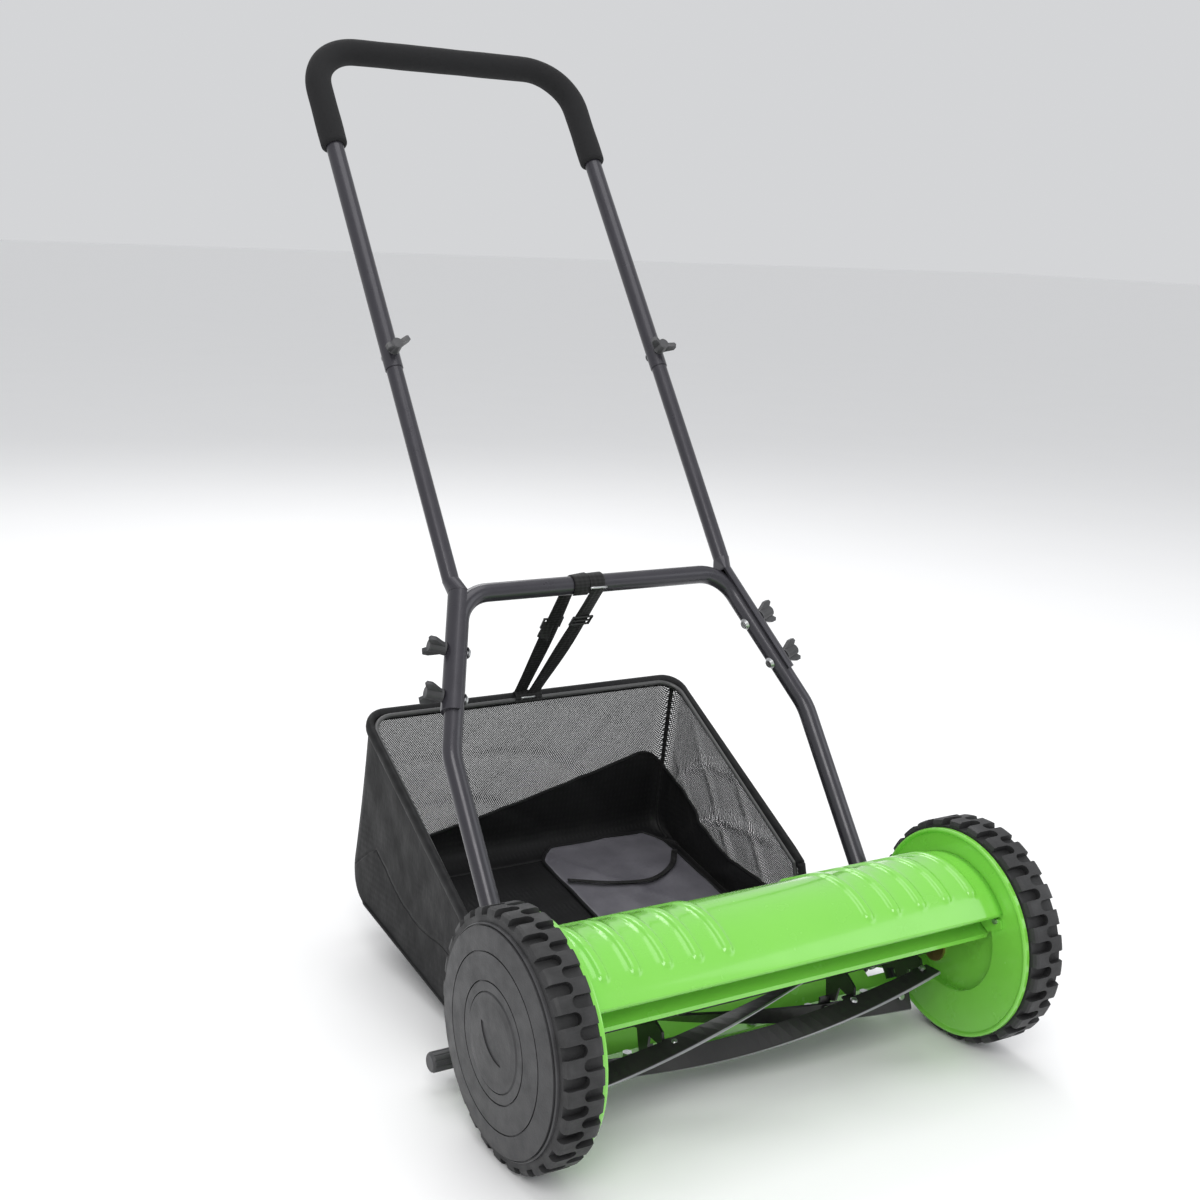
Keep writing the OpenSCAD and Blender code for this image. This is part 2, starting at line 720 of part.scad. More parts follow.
module height_knob(side) {
    x0 = plate_x + sheet + 3;
    len = 271 - x0;
    color([0.36, 0.36, 0.37]) on_side(side) along_x(knob_yz, x0) difference() {
        union() {
            rotate_extrude() polygon([[0, 0], [8, 0], [8, 5], [9.5, 7], [9.5, len - 2.5],
                [8.6, len - 0.8], [7.4, len], [0, len]]);
        }
        translate([0, 0, -1]) cylinder(d = bolt_d + 2 * fit, h = 262 - x0 + 2);
        for (a = [0 : 30 : 330]) rotate(a) translate([10.3, 0, 9])
            cylinder(d = 2.4, h = len, $fn = 24);
    }
}

// ---------- handle ----------

module lower_handle() {
    color([0.29, 0.28, 0.31]) in_handle() difference() {
        bent_tube(lower_run, [60, 40, 40, 60], tube_od, tube_od - 2 * tube_wall);
        on_both_sides() {
            for (s = knob_s) at_arm_bolt(s) translate([0, 0, -30]) cylinder(d = bolt_d + 0.1, h = 60);
            translate([arm_x, 0, 0]) rotate([0, 90, 0])
                cylinder(d = pin_d + 2 * fit, h = 60, center = true);
        }
    }
}

// the lower end is pressed into a saddle that sits round the outside of the arm
module mid_tube(side) {
    along = norm([arm_line.x, arm_line.y]) / arm_line.y;
    saddle_len = (crossbar_s - saddle_s) * along;
    color([0.3, 0.29, 0.32]) in_handle() on_side(side) difference() {
        union() {
            at_saddle(saddle_s) linear_extrude(saddle_len + 1.0) saddle_2d();
            hull() {
                at_saddle(crossbar_s + 0.7) linear_extrude(eps) saddle_2d(0.3, $fn = 32);
                translate([kink.x, kink.y, 0]) rotate([-90, 0, 0])
                    cylinder(d = mid_od + 0.6, h = eps, $fn = 32);
            }
            translate([kink.x, kink.y - 1, 0]) rotate([-90, 0, 0])
                linear_extrude(joint_s - kink.y + 1) tube_2d(mid_od, mid_od - 2 * tube_wall);
            translate([kink.x, joint_s, 0]) rotate([-90, 0, 0])
                linear_extrude(swage_len) tube_2d(swage_od, swage_od - 2 * tube_wall);
        }
        for (s = knob_s) at_arm_bolt(s) cylinder(d = bolt_d + 0.1, h = 30);
        at_joint_bolt() cylinder(d = bolt_d + 0.1, h = 40, center = true);
    }
}

swage_od = tube_od - 2 * tube_wall - 0.1;

module at_saddle(s) {
    x = arm_x + arm_line.x * (s - bend_s) / arm_line.y;
    translate([x, s, 0]) rotate([0, 0, heading(arm_line)]) rotate([0, 90, 0]) children();
}

module saddle_2d(extra = 0) {
    difference() {
        circle(r = saddle_r + extra);
        circle(r = tube_od / 2 + 0.1);
        translate([-20, 1.5 + extra]) square(40);
    }
}

module upper_handle() {
    color([0.29, 0.28, 0.31]) in_handle() difference() {
        bent_tube(upper_run, [55, 55], tube_od, tube_od - 2 * tube_wall);
        on_both_sides() at_joint_bolt() cylinder(d = bolt_d + 0.1, h = 40, center = true);
    }
}

module foam_grip() {
    run = [[kink.x, foam_s], [kink.x, top_s], [-kink.x, top_s], [-kink.x, foam_s]];
    color([0.08, 0.08, 0.08]) in_handle() bent_tube(run, [55, 55], foam_od, tube_od + 0.2);
}

module arm_bolts() {
    r = tube_od / 2;
    color("silver") in_handle() on_both_sides() for (s = knob_s) at_arm_bolt(s) {
        translate([0, 0, -r - 0.5]) cylinder(d = bolt_d, h = r + 0.5 + saddle_r + 15);
        translate([0, 0, -r - 2.8]) cylinder(d1 = 8, d2 = 12.5, h = 2.6);
    }
}

module joint_bolts() {
    r = tube_od / 2;
    color("silver") in_handle() on_both_sides() at_joint_bolt() {
        translate([0, 0, -r - 0.5]) cylinder(d = bolt_d, h = 2 * r + 11.5);
        translate([0, 0, -r - 3.2]) cylinder(d1 = 8, d2 = 12.5, h = 2.8);
    }
}

// wing knob: a round boss and two flat wings that flare towards the tip
module wing_knob(base_h, wing_top, wing_half) {
    difference() {
        union() {
            cylinder(d1 = 13, d2 = 11.5, h = base_h, $fn = 48);
            translate([-2.5, 0, 0]) rotate([90, 0, 90]) linear_extrude(5)
                polygon([[-6, 1.5], [6, 1.5], [wing_half, wing_top - 7], [wing_half, wing_top - 1.5],
                         [wing_half - 3, wing_top], [5, wing_top - 4], [-5, wing_top - 4],
                         [-wing_half + 3, wing_top], [-wing_half, wing_top - 1.5],
                         [-wing_half, wing_top - 7]]);
        }
        translate([0, 0, -1]) cylinder(d = bolt_d + 2 * fit, h = base_h);
    }
}

module arm_knob(side, s, turn) {
    color([0.3, 0.3, 0.31]) in_handle() on_side(side) at_arm_bolt(s)
        translate([0, 0, saddle_r + 0.2]) rotate(turn) wing_knob(17, 20, 12);
}

module joint_knob(side) {
    color([0.22, 0.22, 0.23]) in_handle() on_side(side) at_joint_bolt()
        translate([0, 0, tube_od / 2 + 0.2]) rotate(70) wing_knob(13, 17, 14);
}

// ---------- catcher ----------

bag_corner = [bag_rear + bag_round * unit(bag_floor - bag_rear),
              bag_rear + bag_round * unit(bag_rim - bag_rear)];

function bag_path() = [bag_lip, bag_floor, bag_corner[0],
    (bag_corner[0] + bag_corner[1]) / 4 + bag_rear / 2, bag_corner[1], bag_rim];

module catcher_bag() {
    color([0.12, 0.12, 0.13]) {
        on_both_sides() run_x(bag_half - bag_t, bag_t)
            polygon(concat(bag_path(), [bag_front]));
        run_x(-bag_half + eps, 2 * bag_half - 2 * eps) band_2d(bag_path(), bag_t);
    }
}

frame_half = bag_half - bag_t - wire_d / 2 - 0.3;

// wire loop in the hem of the bag: a rear bow along the rim and a front bow round the mouth
module catcher_frame() {
    back = bag_rim + [-7, -4];
    corner = bag_front + [7, -4];
    foot = bag_lip + [7, 7];
    side_len = norm(back - corner);
    leg_len = norm(foot - corner);
    color([0.5, 0.5, 0.52]) {
        translate([0, corner.x, corner.y]) rotate([heading(back - corner), 0, 0])
            bent_tube([[frame_half, 0], [frame_half, side_len], [-frame_half, side_len],
                       [-frame_half, 0]], [25, 25], wire_d, 0);
        translate([0, corner.x, corner.y]) rotate([heading(foot - corner), 0, 0])
            bent_tube([[frame_half, 0], [frame_half, leg_len], [-frame_half, leg_len],
                       [-frame_half, 0]], [15, 15], wire_d, 0);
        on_both_sides() translate([frame_half, corner.x, corner.y]) sphere(d = wire_d + 0.4);
    }
}

// two flat tongues that rest the mouth of the catcher on the edge of the apron
module catcher_hooks() {
    t = 2;
    foot = bag_lip + [7, 7];
    color([0.5, 0.5, 0.52]) on_both_sides() run_x(146, 14)
        band_2d([foot + [1, wire_d / 2 - 0.3], [158, 53.5], hook_yz + [-3, 2.5]], -t);
}

strap_out = tube_od / 2 + 0.4;
strap_dir = unit(strap_end - crossbar_yz);

module strap(x, way) {
    n = left_of(strap_dir) * way;
    from = crossbar_yz + n * strap_out;
    to = strap_end + n * 1.5;
    lap = 0.6;
    color([0.1, 0.1, 0.11]) {
        run_x(x - strap_w / 2, strap_w) polygon([from, from + n * strap_t,
            to + n * strap_t, to]);
        along_x(crossbar_yz, x - strap_w / 2) rotate(heading(n) - (way > 0 ? 0 : 200))
            rotate_extrude(angle = 200)
            translate([strap_out, 0]) square([strap_t, strap_w]);
    }
}

// slider buckles and the hook plate, laid flat on the straps
module strap_buckles() {
    buckle_on(9, 1, 0.22, [26, 15]);
    buckle_on(-11, -1, 0.42, [26, 16]);
    buckle_on(9, 1, 0.07, [25, 6]);
}

module buckle_on(x, way, along, size) {
    n = left_of(strap_dir) * way;
    from = crossbar_yz + n * (strap_out + strap_t);
    to = strap_end + n * (1.5 + strap_t);
    at = from + (to - from) * along;
    t = 2.4;
    color([0.16, 0.16, 0.17]) translate([x, at.x, at.y]) rotate([heading(to - from), 0, 0])
        translate([-size.x / 2, -size.y / 2, way > 0 ? 0.05 : -t - 0.05]) difference() {
            cube([size.x, size.y, t]);
            if (size.y > 8) translate([3, 2, -1]) cube([size.x - 6, (size.y - 6) / 2, t + 2]);
        }
}

// ---------- nodes ----------

tyre(LEFT);  // tyre_left
tyre(RIGHT);  // tyre_right
wheel(LEFT);  // wheel_left
wheel(RIGHT);  // wheel_right
ring_gear(LEFT);  // ring_gear_left
ring_gear(RIGHT);  // ring_gear_right
hub_cap(LEFT);  // hub_cap_left
hub_cap(RIGHT);  // hub_cap_right
axle(LEFT);  // axle_left
axle(RIGHT);  // axle_right
axle_washers();
axle_clips();
pinion(LEFT);  // pinion_left
pinion(RIGHT);  // pinion_right
pawl(LEFT);  // pawl_left
pawl(RIGHT);  // pawl_right
reel_shaft();
reel_blades();
reel_spiders();
blade_rivets();
reel_clips();
reel_bearing(LEFT);  // reel_bearing_left
reel_bearing(RIGHT);  // reel_bearing_right
side_plate(LEFT);  // side_plate_left
side_plate(RIGHT);  // side_plate_right
top_cover();
front_tie_bar();
bed_knife();
knife_screws();
knife_carrier();
frame_screws();
pivot_pins();
pivot_spacers();
pivot_clips();
stop_pins();
roller_bracket(LEFT);  // roller_bracket_left
roller_bracket(RIGHT);  // roller_bracket_right
bracket_pins();
roller_axle();
ground_roller();
height_bolts();
height_knob(LEFT);  // height_knob_left
height_knob(RIGHT);  // height_knob_right
lower_handle();
mid_tube(LEFT);  // mid_tube_left
mid_tube(RIGHT);  // mid_tube_right
upper_handle();
foam_grip();
union() {  // handle_bolts
    arm_bolts();
    joint_bolts();
}
arm_knob(LEFT, knob_s[0], 20);  // arm_knobs_left_low
arm_knob(LEFT, knob_s[1], 20);  // arm_knobs_left_high
arm_knob(RIGHT, knob_s[0], 60);  // arm_knobs_right_low
arm_knob(RIGHT, knob_s[1], 75);  // arm_knobs_right_high
joint_knob(LEFT);  // joint_knob_left
joint_knob(RIGHT);  // joint_knob_right
catcher_bag();
catcher_frame();
union() {  // catcher_straps
    strap(9, 1);
    strap(-11, -1);
}
strap_buckles();
catcher_hooks();
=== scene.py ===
"""Looks of a push reel mower with a cloth grass catcher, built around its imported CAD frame.

Metres; +Z up, -Y the mowing direction, +X to the left of the person pushing. The CAD nodes keep
their shape and get materials. The cloth bag, its straps, the foam grip and the enamelled cover
are built here and replace their plain CAD solids.
"""

import json
import math

import bmesh
import bpy
import numpy as np
from mathutils import Matrix, Vector


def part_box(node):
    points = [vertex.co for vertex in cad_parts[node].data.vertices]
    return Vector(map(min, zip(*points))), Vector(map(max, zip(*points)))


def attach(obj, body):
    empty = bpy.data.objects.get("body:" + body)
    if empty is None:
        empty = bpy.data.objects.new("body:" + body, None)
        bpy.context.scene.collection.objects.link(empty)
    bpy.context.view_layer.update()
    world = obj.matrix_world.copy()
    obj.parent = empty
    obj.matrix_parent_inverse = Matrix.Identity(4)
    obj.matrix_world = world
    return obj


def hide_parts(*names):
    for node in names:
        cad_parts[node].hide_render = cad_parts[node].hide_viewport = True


MM = 0.001
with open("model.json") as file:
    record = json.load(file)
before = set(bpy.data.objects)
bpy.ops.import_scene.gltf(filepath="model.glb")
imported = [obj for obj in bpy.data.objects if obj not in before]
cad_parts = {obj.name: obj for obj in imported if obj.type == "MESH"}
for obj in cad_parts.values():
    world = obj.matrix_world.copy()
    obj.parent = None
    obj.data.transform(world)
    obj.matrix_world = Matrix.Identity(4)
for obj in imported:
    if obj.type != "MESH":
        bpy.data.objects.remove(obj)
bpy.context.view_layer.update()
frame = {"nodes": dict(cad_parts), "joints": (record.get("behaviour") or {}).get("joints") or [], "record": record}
NODES = frame["nodes"]
JOINTS = {j["name"]: j for j in frame["joints"]}


# ---------------------------------------------------------------- node helpers

class Graph:
    """A material's node tree with short calls to add and join nodes."""

    def __init__(self, name):
        self.material = bpy.data.materials.new(name)
        self.material.use_nodes = True
        self.tree = self.material.node_tree
        self.tree.nodes.clear()
        self.output = self.tree.nodes.new("ShaderNodeOutputMaterial")
        self.shader = self.tree.nodes.new("ShaderNodeBsdfPrincipled")
        self.link(self.shader.outputs["BSDF"], self.output.inputs["Surface"])

    def link(self, source, target):
        self.tree.links.new(source, target)

    def add(self, kind):
        return self.tree.nodes.new(kind)

    def place(self):
        return self.add("ShaderNodeTexCoord").outputs["Object"]

    def scaled(self, source, scale, turn=(0, 0, 0)):
        mapping = self.add("ShaderNodeMapping")
        mapping.inputs["Scale"].default_value = scale
        mapping.inputs["Rotation"].default_value = turn
        self.link(source, mapping.inputs["Vector"])
        return mapping.outputs["Vector"]

    def noise(self, source, scale, detail=3.0, rough=0.55):
        node = self.add("ShaderNodeTexNoise")
        node.inputs["Scale"].default_value = scale
        node.inputs["Detail"].default_value = detail
        node.inputs["Roughness"].default_value = rough
        self.link(source, node.inputs["Vector"])
        return node.outputs["Fac"]

    def wave(self, source, scale, axis):
        node = self.add("ShaderNodeTexWave")
        node.bands_direction = axis
        node.inputs["Scale"].default_value = scale
        self.link(source, node.inputs["Vector"])
        return node.outputs["Fac"]

    def cells(self, source, scale):
        node = self.add("ShaderNodeTexVoronoi")
        node.inputs["Scale"].default_value = scale
        self.link(source, node.inputs["Vector"])
        return node.outputs["Distance"]

    def math(self, operation, a, b=None):
        node = self.add("ShaderNodeMath")
        node.operation = operation
        for socket, value in zip(node.inputs, (a, b)):
            if value is None:
                continue
            if isinstance(value, (int, float)):
                socket.default_value = value
            else:
                self.link(value, socket)
        return node.outputs[0]

    def band(self, source, low, high, out_low=0.0, out_high=1.0):
        node = self.add("ShaderNodeMapRange")
        node.inputs["From Min"].default_value = low
        node.inputs["From Max"].default_value = high
        node.inputs["To Min"].default_value = out_low
        node.inputs["To Max"].default_value = out_high
        self.link(source, node.inputs["Value"])
        return node.outputs["Result"]

    def mix(self, factor, a, b):
        node = self.add("ShaderNodeMix")
        node.data_type = "RGBA"
        self.link(factor, node.inputs[0])
        for socket, value in ((node.inputs[6], a), (node.inputs[7], b)):
            if isinstance(value, tuple):
                socket.default_value = (*value, 1.0)
            else:
                self.link(value, socket)
        return node.outputs[2]

    def bump(self, height, distance, strength=0.5, normal=None):
        node = self.add("ShaderNodeBump")
        node.inputs["Strength"].default_value = strength
        node.inputs["Distance"].default_value = distance
        self.link(height, node.inputs["Height"])
        if normal is not None:
            self.link(normal, node.inputs["Normal"])
        return node.outputs["Normal"]

    def edges(self, low=0.52, high=0.62):
        """High on worn convex edges."""
        return self.band(self.add("ShaderNodeNewGeometry").outputs["Pointiness"], low, high)

    def finish(self, colour, roughness, normal=None, metallic=0.0, coat=0.0, sheen=0.0,
               specular=0.5):
        shader = self.shader.inputs
        if isinstance(colour, tuple):
            shader["Base Color"].default_value = (*colour, 1.0)
        else:
            self.link(colour, shader["Base Color"])
        if isinstance(roughness, float):
            shader["Roughness"].default_value = roughness
        else:
            self.link(roughness, shader["Roughness"])
        if normal is not None:
            self.link(normal, shader["Normal"])
        shader["Metallic"].default_value = metallic
        shader["Coat Weight"].default_value = coat
        shader["Coat Roughness"].default_value = 0.08
        shader["Sheen Weight"].default_value = sheen
        shader["Sheen Roughness"].default_value = 0.5
        shader["Specular IOR Level"].default_value = specular
        return self.material


# ---------------------------------------------------------------- materials

def enamel(name, colour, dark, roughness=0.22, coat=0.6, peel=0.25):
    """Gloss paint on pressed steel: faint orange peel, slight tone drift and chips on edges."""
    g = Graph(name)
    at = g.place()
    tone = g.mix(g.noise(at, 9.0), colour, dark)
    wear = g.math("MULTIPLY", g.edges(0.74, 0.86), g.band(g.noise(at, 160.0), 0.55, 0.7))
    base = g.mix(wear, tone, (0.30, 0.31, 0.30))
    rough = g.band(g.noise(at, 35.0), 0.3, 0.7, roughness - 0.05, roughness + 0.08)
    normal = g.bump(g.noise(at, 420.0, 2.0), 0.0002, peel)
    return g.finish(base, rough, normal, coat=coat)


def moulded(name, colour, light, roughness=0.5, grain=650.0, depth=0.00025, specular=0.4):
    """Textured moulded plastic or rubber, rubbed lighter on its edges, with dust in places."""
    g = Graph(name)
    at = g.place()
    tone = g.mix(g.band(g.noise(at, 22.0), 0.35, 0.7), colour, light)
    edge = g.math("MULTIPLY", g.edges(0.515, 0.60), g.band(g.noise(at, 60.0), 0.3, 0.65, 0.1, 0.55))
    lighter = tuple(min(1.0, 1.9 * c + 0.01) for c in light)
    base = g.mix(edge, tone, lighter)
    rough = g.band(g.noise(at, 70.0), 0.3, 0.75, roughness - 0.08, roughness + 0.12)
    pits = g.math("ADD", g.noise(at, grain, 2.0), g.math("MULTIPLY", g.cells(at, grain * 0.8), 0.5))
    normal = g.bump(pits, depth, 0.45)
    return g.finish(base, rough, normal, specular=specular)


def plated(name, colour, roughness=0.32, brush=(900.0, 60.0, 60.0)):
    """Zinc or ground steel: fine drawn lines, cloudy passivation and dark spots."""
    g = Graph(name)
    at = g.place()
    lines = g.noise(g.scaled(at, brush), 1.0, 4.0)
    cloud = g.noise(at, 45.0)
    dull = tuple(0.55 * c for c in colour)
    base = g.mix(g.band(cloud, 0.35, 0.8), colour, dull)
    rough = g.math("ADD", g.band(lines, 0.3, 0.7, -0.06, 0.10), roughness)
    normal = g.bump(lines, 0.00012, 0.35)
    return g.finish(base, rough, normal, metallic=0.92)


def tube_paint(name):
    """Gunmetal powder coat with a faint violet cast and fine metallic flake."""
    g = Graph(name)
    at = g.place()
    flake = g.band(g.cells(at, 2600.0), 0.15, 0.45)
    tone = g.mix(g.noise(at, 14.0), (0.016, 0.0148, 0.020), (0.026, 0.0245, 0.031))
    base = g.mix(g.math("MULTIPLY", flake, 0.22), tone, (0.10, 0.096, 0.115))
    rough = g.band(g.noise(at, 60.0), 0.3, 0.7, 0.26, 0.40)
    normal = g.bump(g.noise(at, 900.0, 2.0), 0.00015, 0.3)
    return g.finish(base, rough, normal, metallic=0.35, coat=0.25)


def blade_metal(name):
    """Black-painted blade whose outer edge is ground to bare steel."""
    g = Graph(name)
    at = g.place()
    spin = JOINTS["reel_spin"]["pos_m"]
    parts = g.add("ShaderNodeSeparateXYZ")
    g.link(at, parts.inputs[0])
    dy = g.math("SUBTRACT", parts.outputs[1], spin[1])
    dz = g.math("SUBTRACT", parts.outputs[2], spin[2])
    radius = g.math("SQRT", g.math("ADD", g.math("MULTIPLY", dy, dy), g.math("MULTIPLY", dz, dz)))
    ground = g.band(radius, 53.9 * MM, 54.2 * MM)
    lines = g.noise(g.scaled(at, (60.0, 900.0, 900.0)), 1.0, 4.0)
    black = g.mix(g.noise(at, 30.0), (0.010, 0.010, 0.011), (0.028, 0.027, 0.026))
    steel = g.mix(lines, (0.22, 0.225, 0.235), (0.42, 0.43, 0.44))
    base = g.mix(ground, black, steel)
    rough = g.math("ADD", g.math("MULTIPLY", lines, 0.12), 0.26)
    normal = g.bump(g.noise(at, 500.0, 2.0), 0.0002, 0.3)
    material = g.finish(base, rough, normal)
    g.link(g.math("MULTIPLY", ground, 0.9), g.shader.inputs["Metallic"])
    return material


def foam(name):
    """Closed-cell foam: matte black with fine open pores."""
    g = Graph(name)
    at = g.place()
    pores = g.cells(at, 780.0)
    fine = g.noise(at, 1600.0, 2.0)
    tone = g.mix(g.band(pores, 0.05, 0.35), (0.0035, 0.0035, 0.0038), (0.017, 0.017, 0.018))
    height = g.math("ADD", g.band(pores, 0.0, 0.4), g.math("MULTIPLY", fine, 0.4))
    return g.finish(tone, 0.88, g.bump(height, 0.0006, 0.7), sheen=0.03, specular=0.18)


def cloth(name, colour, light, thread=1150.0, depth=0.0004, sheen=0.03):
    """Coated woven polyester: crossed threads, soft creases and lint."""
    g = Graph(name)
    at = g.place()
    warp = g.wave(at, thread / 20.0, "X")
    weft = g.wave(g.scaled(at, (1.0, 0.75, 0.75)), thread / 20.0, "Z")
    weave = g.math("MULTIPLY", warp, weft)
    tone = g.mix(g.band(g.noise(at, 16.0, 4.0), 0.35, 0.75), colour, light)
    base = g.mix(g.math("MULTIPLY", weave, 0.35), tone, tuple(1.7 * c for c in light))
    creases = g.noise(g.scaled(at, (18.0, 34.0, 26.0)), 1.0, 4.0)
    rough = g.band(creases, 0.3, 0.7, 0.50, 0.68)
    normal = g.bump(creases, 0.004, 0.35)
    return g.finish(base, rough, g.bump(weave, depth, 0.4, normal), sheen=sheen, specular=0.24)


def mesh_cloth(name):
    """Open net: thin dark threads with holes that show what is behind."""
    g = Graph(name)
    at = g.place()
    pitch = 1.6 * MM
    parts = g.add("ShaderNodeSeparateXYZ")
    g.link(at, parts.inputs[0])
    level = g.math("ADD", parts.outputs[0], parts.outputs[1])
    hole = None
    for way in ("ADD", "SUBTRACT"):
        value = g.math(way, level, parts.outputs[2])
        cell = g.math("FRACT", g.math("MULTIPLY", g.math("ADD", value, 5.0), 0.7 / pitch))
        edge = g.math("ABSOLUTE", g.math("SUBTRACT", cell, 0.5))
        inside = g.math("LESS_THAN", edge, 0.29)
        hole = inside if hole is None else g.math("MULTIPLY", hole, inside)
    tone = g.mix(g.noise(at, 25.0), (0.020, 0.020, 0.022), (0.050, 0.050, 0.054))
    material = g.finish(tone, 0.6, sheen=0.1)
    g.link(g.math("SUBTRACT", 1.0, hole), g.shader.inputs["Alpha"])
    return material


def webbing(name):
    """Ribbed polypropylene tape."""
    g = Graph(name)
    at = g.place()
    ribs = g.wave(at, 95.0, "Z")
    cross = g.wave(at, 60.0, "X")
    weave = g.math("ADD", g.math("MULTIPLY", ribs, 0.6), g.math("MULTIPLY", cross, 0.4))
    tone = g.mix(weave, (0.005, 0.005, 0.005), (0.018, 0.018, 0.0185))
    return g.finish(tone, 0.62, g.bump(weave, 0.0006, 0.6), sheen=0.05, specular=0.25)


LIME = (0.225, 0.66, 0.078)
LIME_DARK = (0.185, 0.58, 0.060)
MAT = {
    "lime_enamel": enamel("lime_enamel", LIME, LIME_DARK),
    "black_enamel": enamel("black_enamel", (0.012, 0.012, 0.013), (0.03, 0.029, 0.028), 0.3, 0.3),
    "grey_enamel": enamel("grey_enamel", (0.07, 0.07, 0.075), (0.10, 0.10, 0.10), 0.35, 0.2),
    "tyre_rubber": moulded("tyre_rubber", (0.016, 0.016, 0.0165), (0.026, 0.026, 0.027), 0.56,
                           480.0, 0.0003, 0.38),
    "wheel_plastic": moulded("wheel_plastic", (0.028, 0.028, 0.0295), (0.040, 0.040, 0.042), 0.46),
    "roller_plastic": moulded("roller_plastic", (0.012, 0.012, 0.013), (0.02, 0.02, 0.021), 0.42),
    "knob_plastic": moulded("knob_plastic", (0.036, 0.036, 0.038), (0.055, 0.055, 0.058), 0.45),
    "buckle_plastic": moulded("buckle_plastic", (0.014, 0.014, 0.015), (0.03, 0.03, 0.031), 0.4),
    "zinc_steel": plated("zinc_steel", (0.60, 0.61, 0.62)),
    "blade_steel": plated("blade_steel", (0.50, 0.51, 0.53), 0.28, (50.0, 900.0, 900.0)),
    "gear_iron": plated("gear_iron", (0.11, 0.11, 0.12), 0.42),
    "bronze": plated("bronze", (0.50, 0.32, 0.13), 0.35),
    "tube_enamel": tube_paint("tube_enamel"),
    "wire": enamel("wire", (0.05, 0.05, 0.052), (0.08, 0.08, 0.08), 0.35, 0.2),
    "foam": foam("foam"),
    "bag_cloth": cloth("bag_cloth", (0.0035, 0.0035, 0.004), (0.0075, 0.0075, 0.0082)),
    "webbing": webbing("webbing"),
}
MAT["blades"] = blade_metal("blades")
MAT["net"] = mesh_cloth("net")
MAT["binding"] = cloth("binding", (0.006, 0.006, 0.0065), (0.012, 0.012, 0.013), 900.0, 0.0006)
MAT["floor_sheet"] = moulded("floor_sheet", (0.105, 0.102, 0.118), (0.150, 0.146, 0.165), 0.42,
                             300.0, 0.00015)

for entry in frame["record"]["subparts"]:
    shown = NODES[entry["node"]]
    shown.data.materials.clear()
    shown.data.materials.append(MAT[entry["material_slot"]])
NODES["reel_blades"].data.materials[0] = MAT["blades"]


# ---------------------------------------------------------------- mesh helpers

def new_piece(name, points, faces, material, body, smooth=True):
    mesh = bpy.data.meshes.new(name)
    mesh.from_pydata([tuple(p) for p in points], [], faces)
    mesh.validate()
    piece = bpy.data.objects.new(name, mesh)
    bpy.context.scene.collection.objects.link(piece)
    mesh.materials.append(material)
    if smooth:
        mesh.shade_smooth()
    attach(piece, body)
    return piece


def apply_modifiers(piece):
    shown = bpy.context.evaluated_depsgraph_get()
    bpy.context.view_layer.update()
    mesh = bpy.data.meshes.new_from_object(piece.evaluated_get(shown))
    piece.modifiers.clear()
    piece.data = mesh


def add_modifier(piece, kind, **values):
    modifier = piece.modifiers.new(kind.lower(), kind)
    for key, value in values.items():
        setattr(modifier, key, value)
    return modifier


def flip_outward(piece):
    mesh = bmesh.new()
    mesh.from_mesh(piece.data)
    bmesh.ops.recalc_face_normals(mesh, faces=mesh.faces)
    mesh.to_mesh(piece.data)
    mesh.free()


def grid_faces(rows, columns, wrap_rows=False, wrap_columns=False):
    faces = []
    for i in range(rows if wrap_rows else rows - 1):
        for j in range(columns if wrap_columns else columns - 1):
            a, b = i * columns, ((i + 1) % rows) * columns
            k = (j + 1) % columns
            faces.append((a + j, a + k, b + k, b + j))
    return faces


def path_frames(path):
    """Tangents and a steady pair of side vectors along a list of points."""
    path = [Vector(p) for p in path]
    tangents = []
    for i in range(len(path)):
        before, after = path[max(i - 1, 0)], path[min(i + 1, len(path) - 1)]
        tangents.append((after - before).normalized())
    side = tangents[0].orthogonal().normalized()
    frames = []
    for tangent in tangents:
        side = (side - tangent * side.dot(tangent)).normalized()
        frames.append((side, tangent.cross(side)))
    return path, frames


def sweep(name, path, section, material, body, sides=None, caps=True):
    """A section of (across, up) points swept along a path; sides gives the 'across' directions."""
    path, frames = path_frames(path)
    if sides is not None:
        tangents = [a.cross(b) for a, b in frames]
        frames = []
        for tangent, across in zip(tangents, sides):
            across = (Vector(across) - tangent * tangent.dot(Vector(across))).normalized()
            frames.append((across, tangent.cross(across)))
    points = [p + a * x + b * y for p, (a, b) in zip(path, frames) for x, y in section]
    faces = grid_faces(len(path), len(section), wrap_columns=True)
    if caps:
        faces.append(tuple(range(len(section)))[::-1])
        faces.append(tuple(range(len(points) - len(section), len(points))))
    piece = new_piece(name, points, faces, material, body)
    flip_outward(piece)
    return piece


def round_section(radius, count=20):
    return [(radius * math.cos(2 * math.pi * i / count), radius * math.sin(2 * math.pi * i / count))
            for i in range(count)]


def tape_section(width, thick):
    """A flat tape with rounded selvedges."""
    w, t = width / 2, thick / 2
    return [(-w, 0), (-w + t, -t), (-w / 3, -t), (w / 3, -t), (w - t, -t), (w, 0),
            (w - t, t), (w / 3, t), (-w / 3, t), (-w + t, t)]


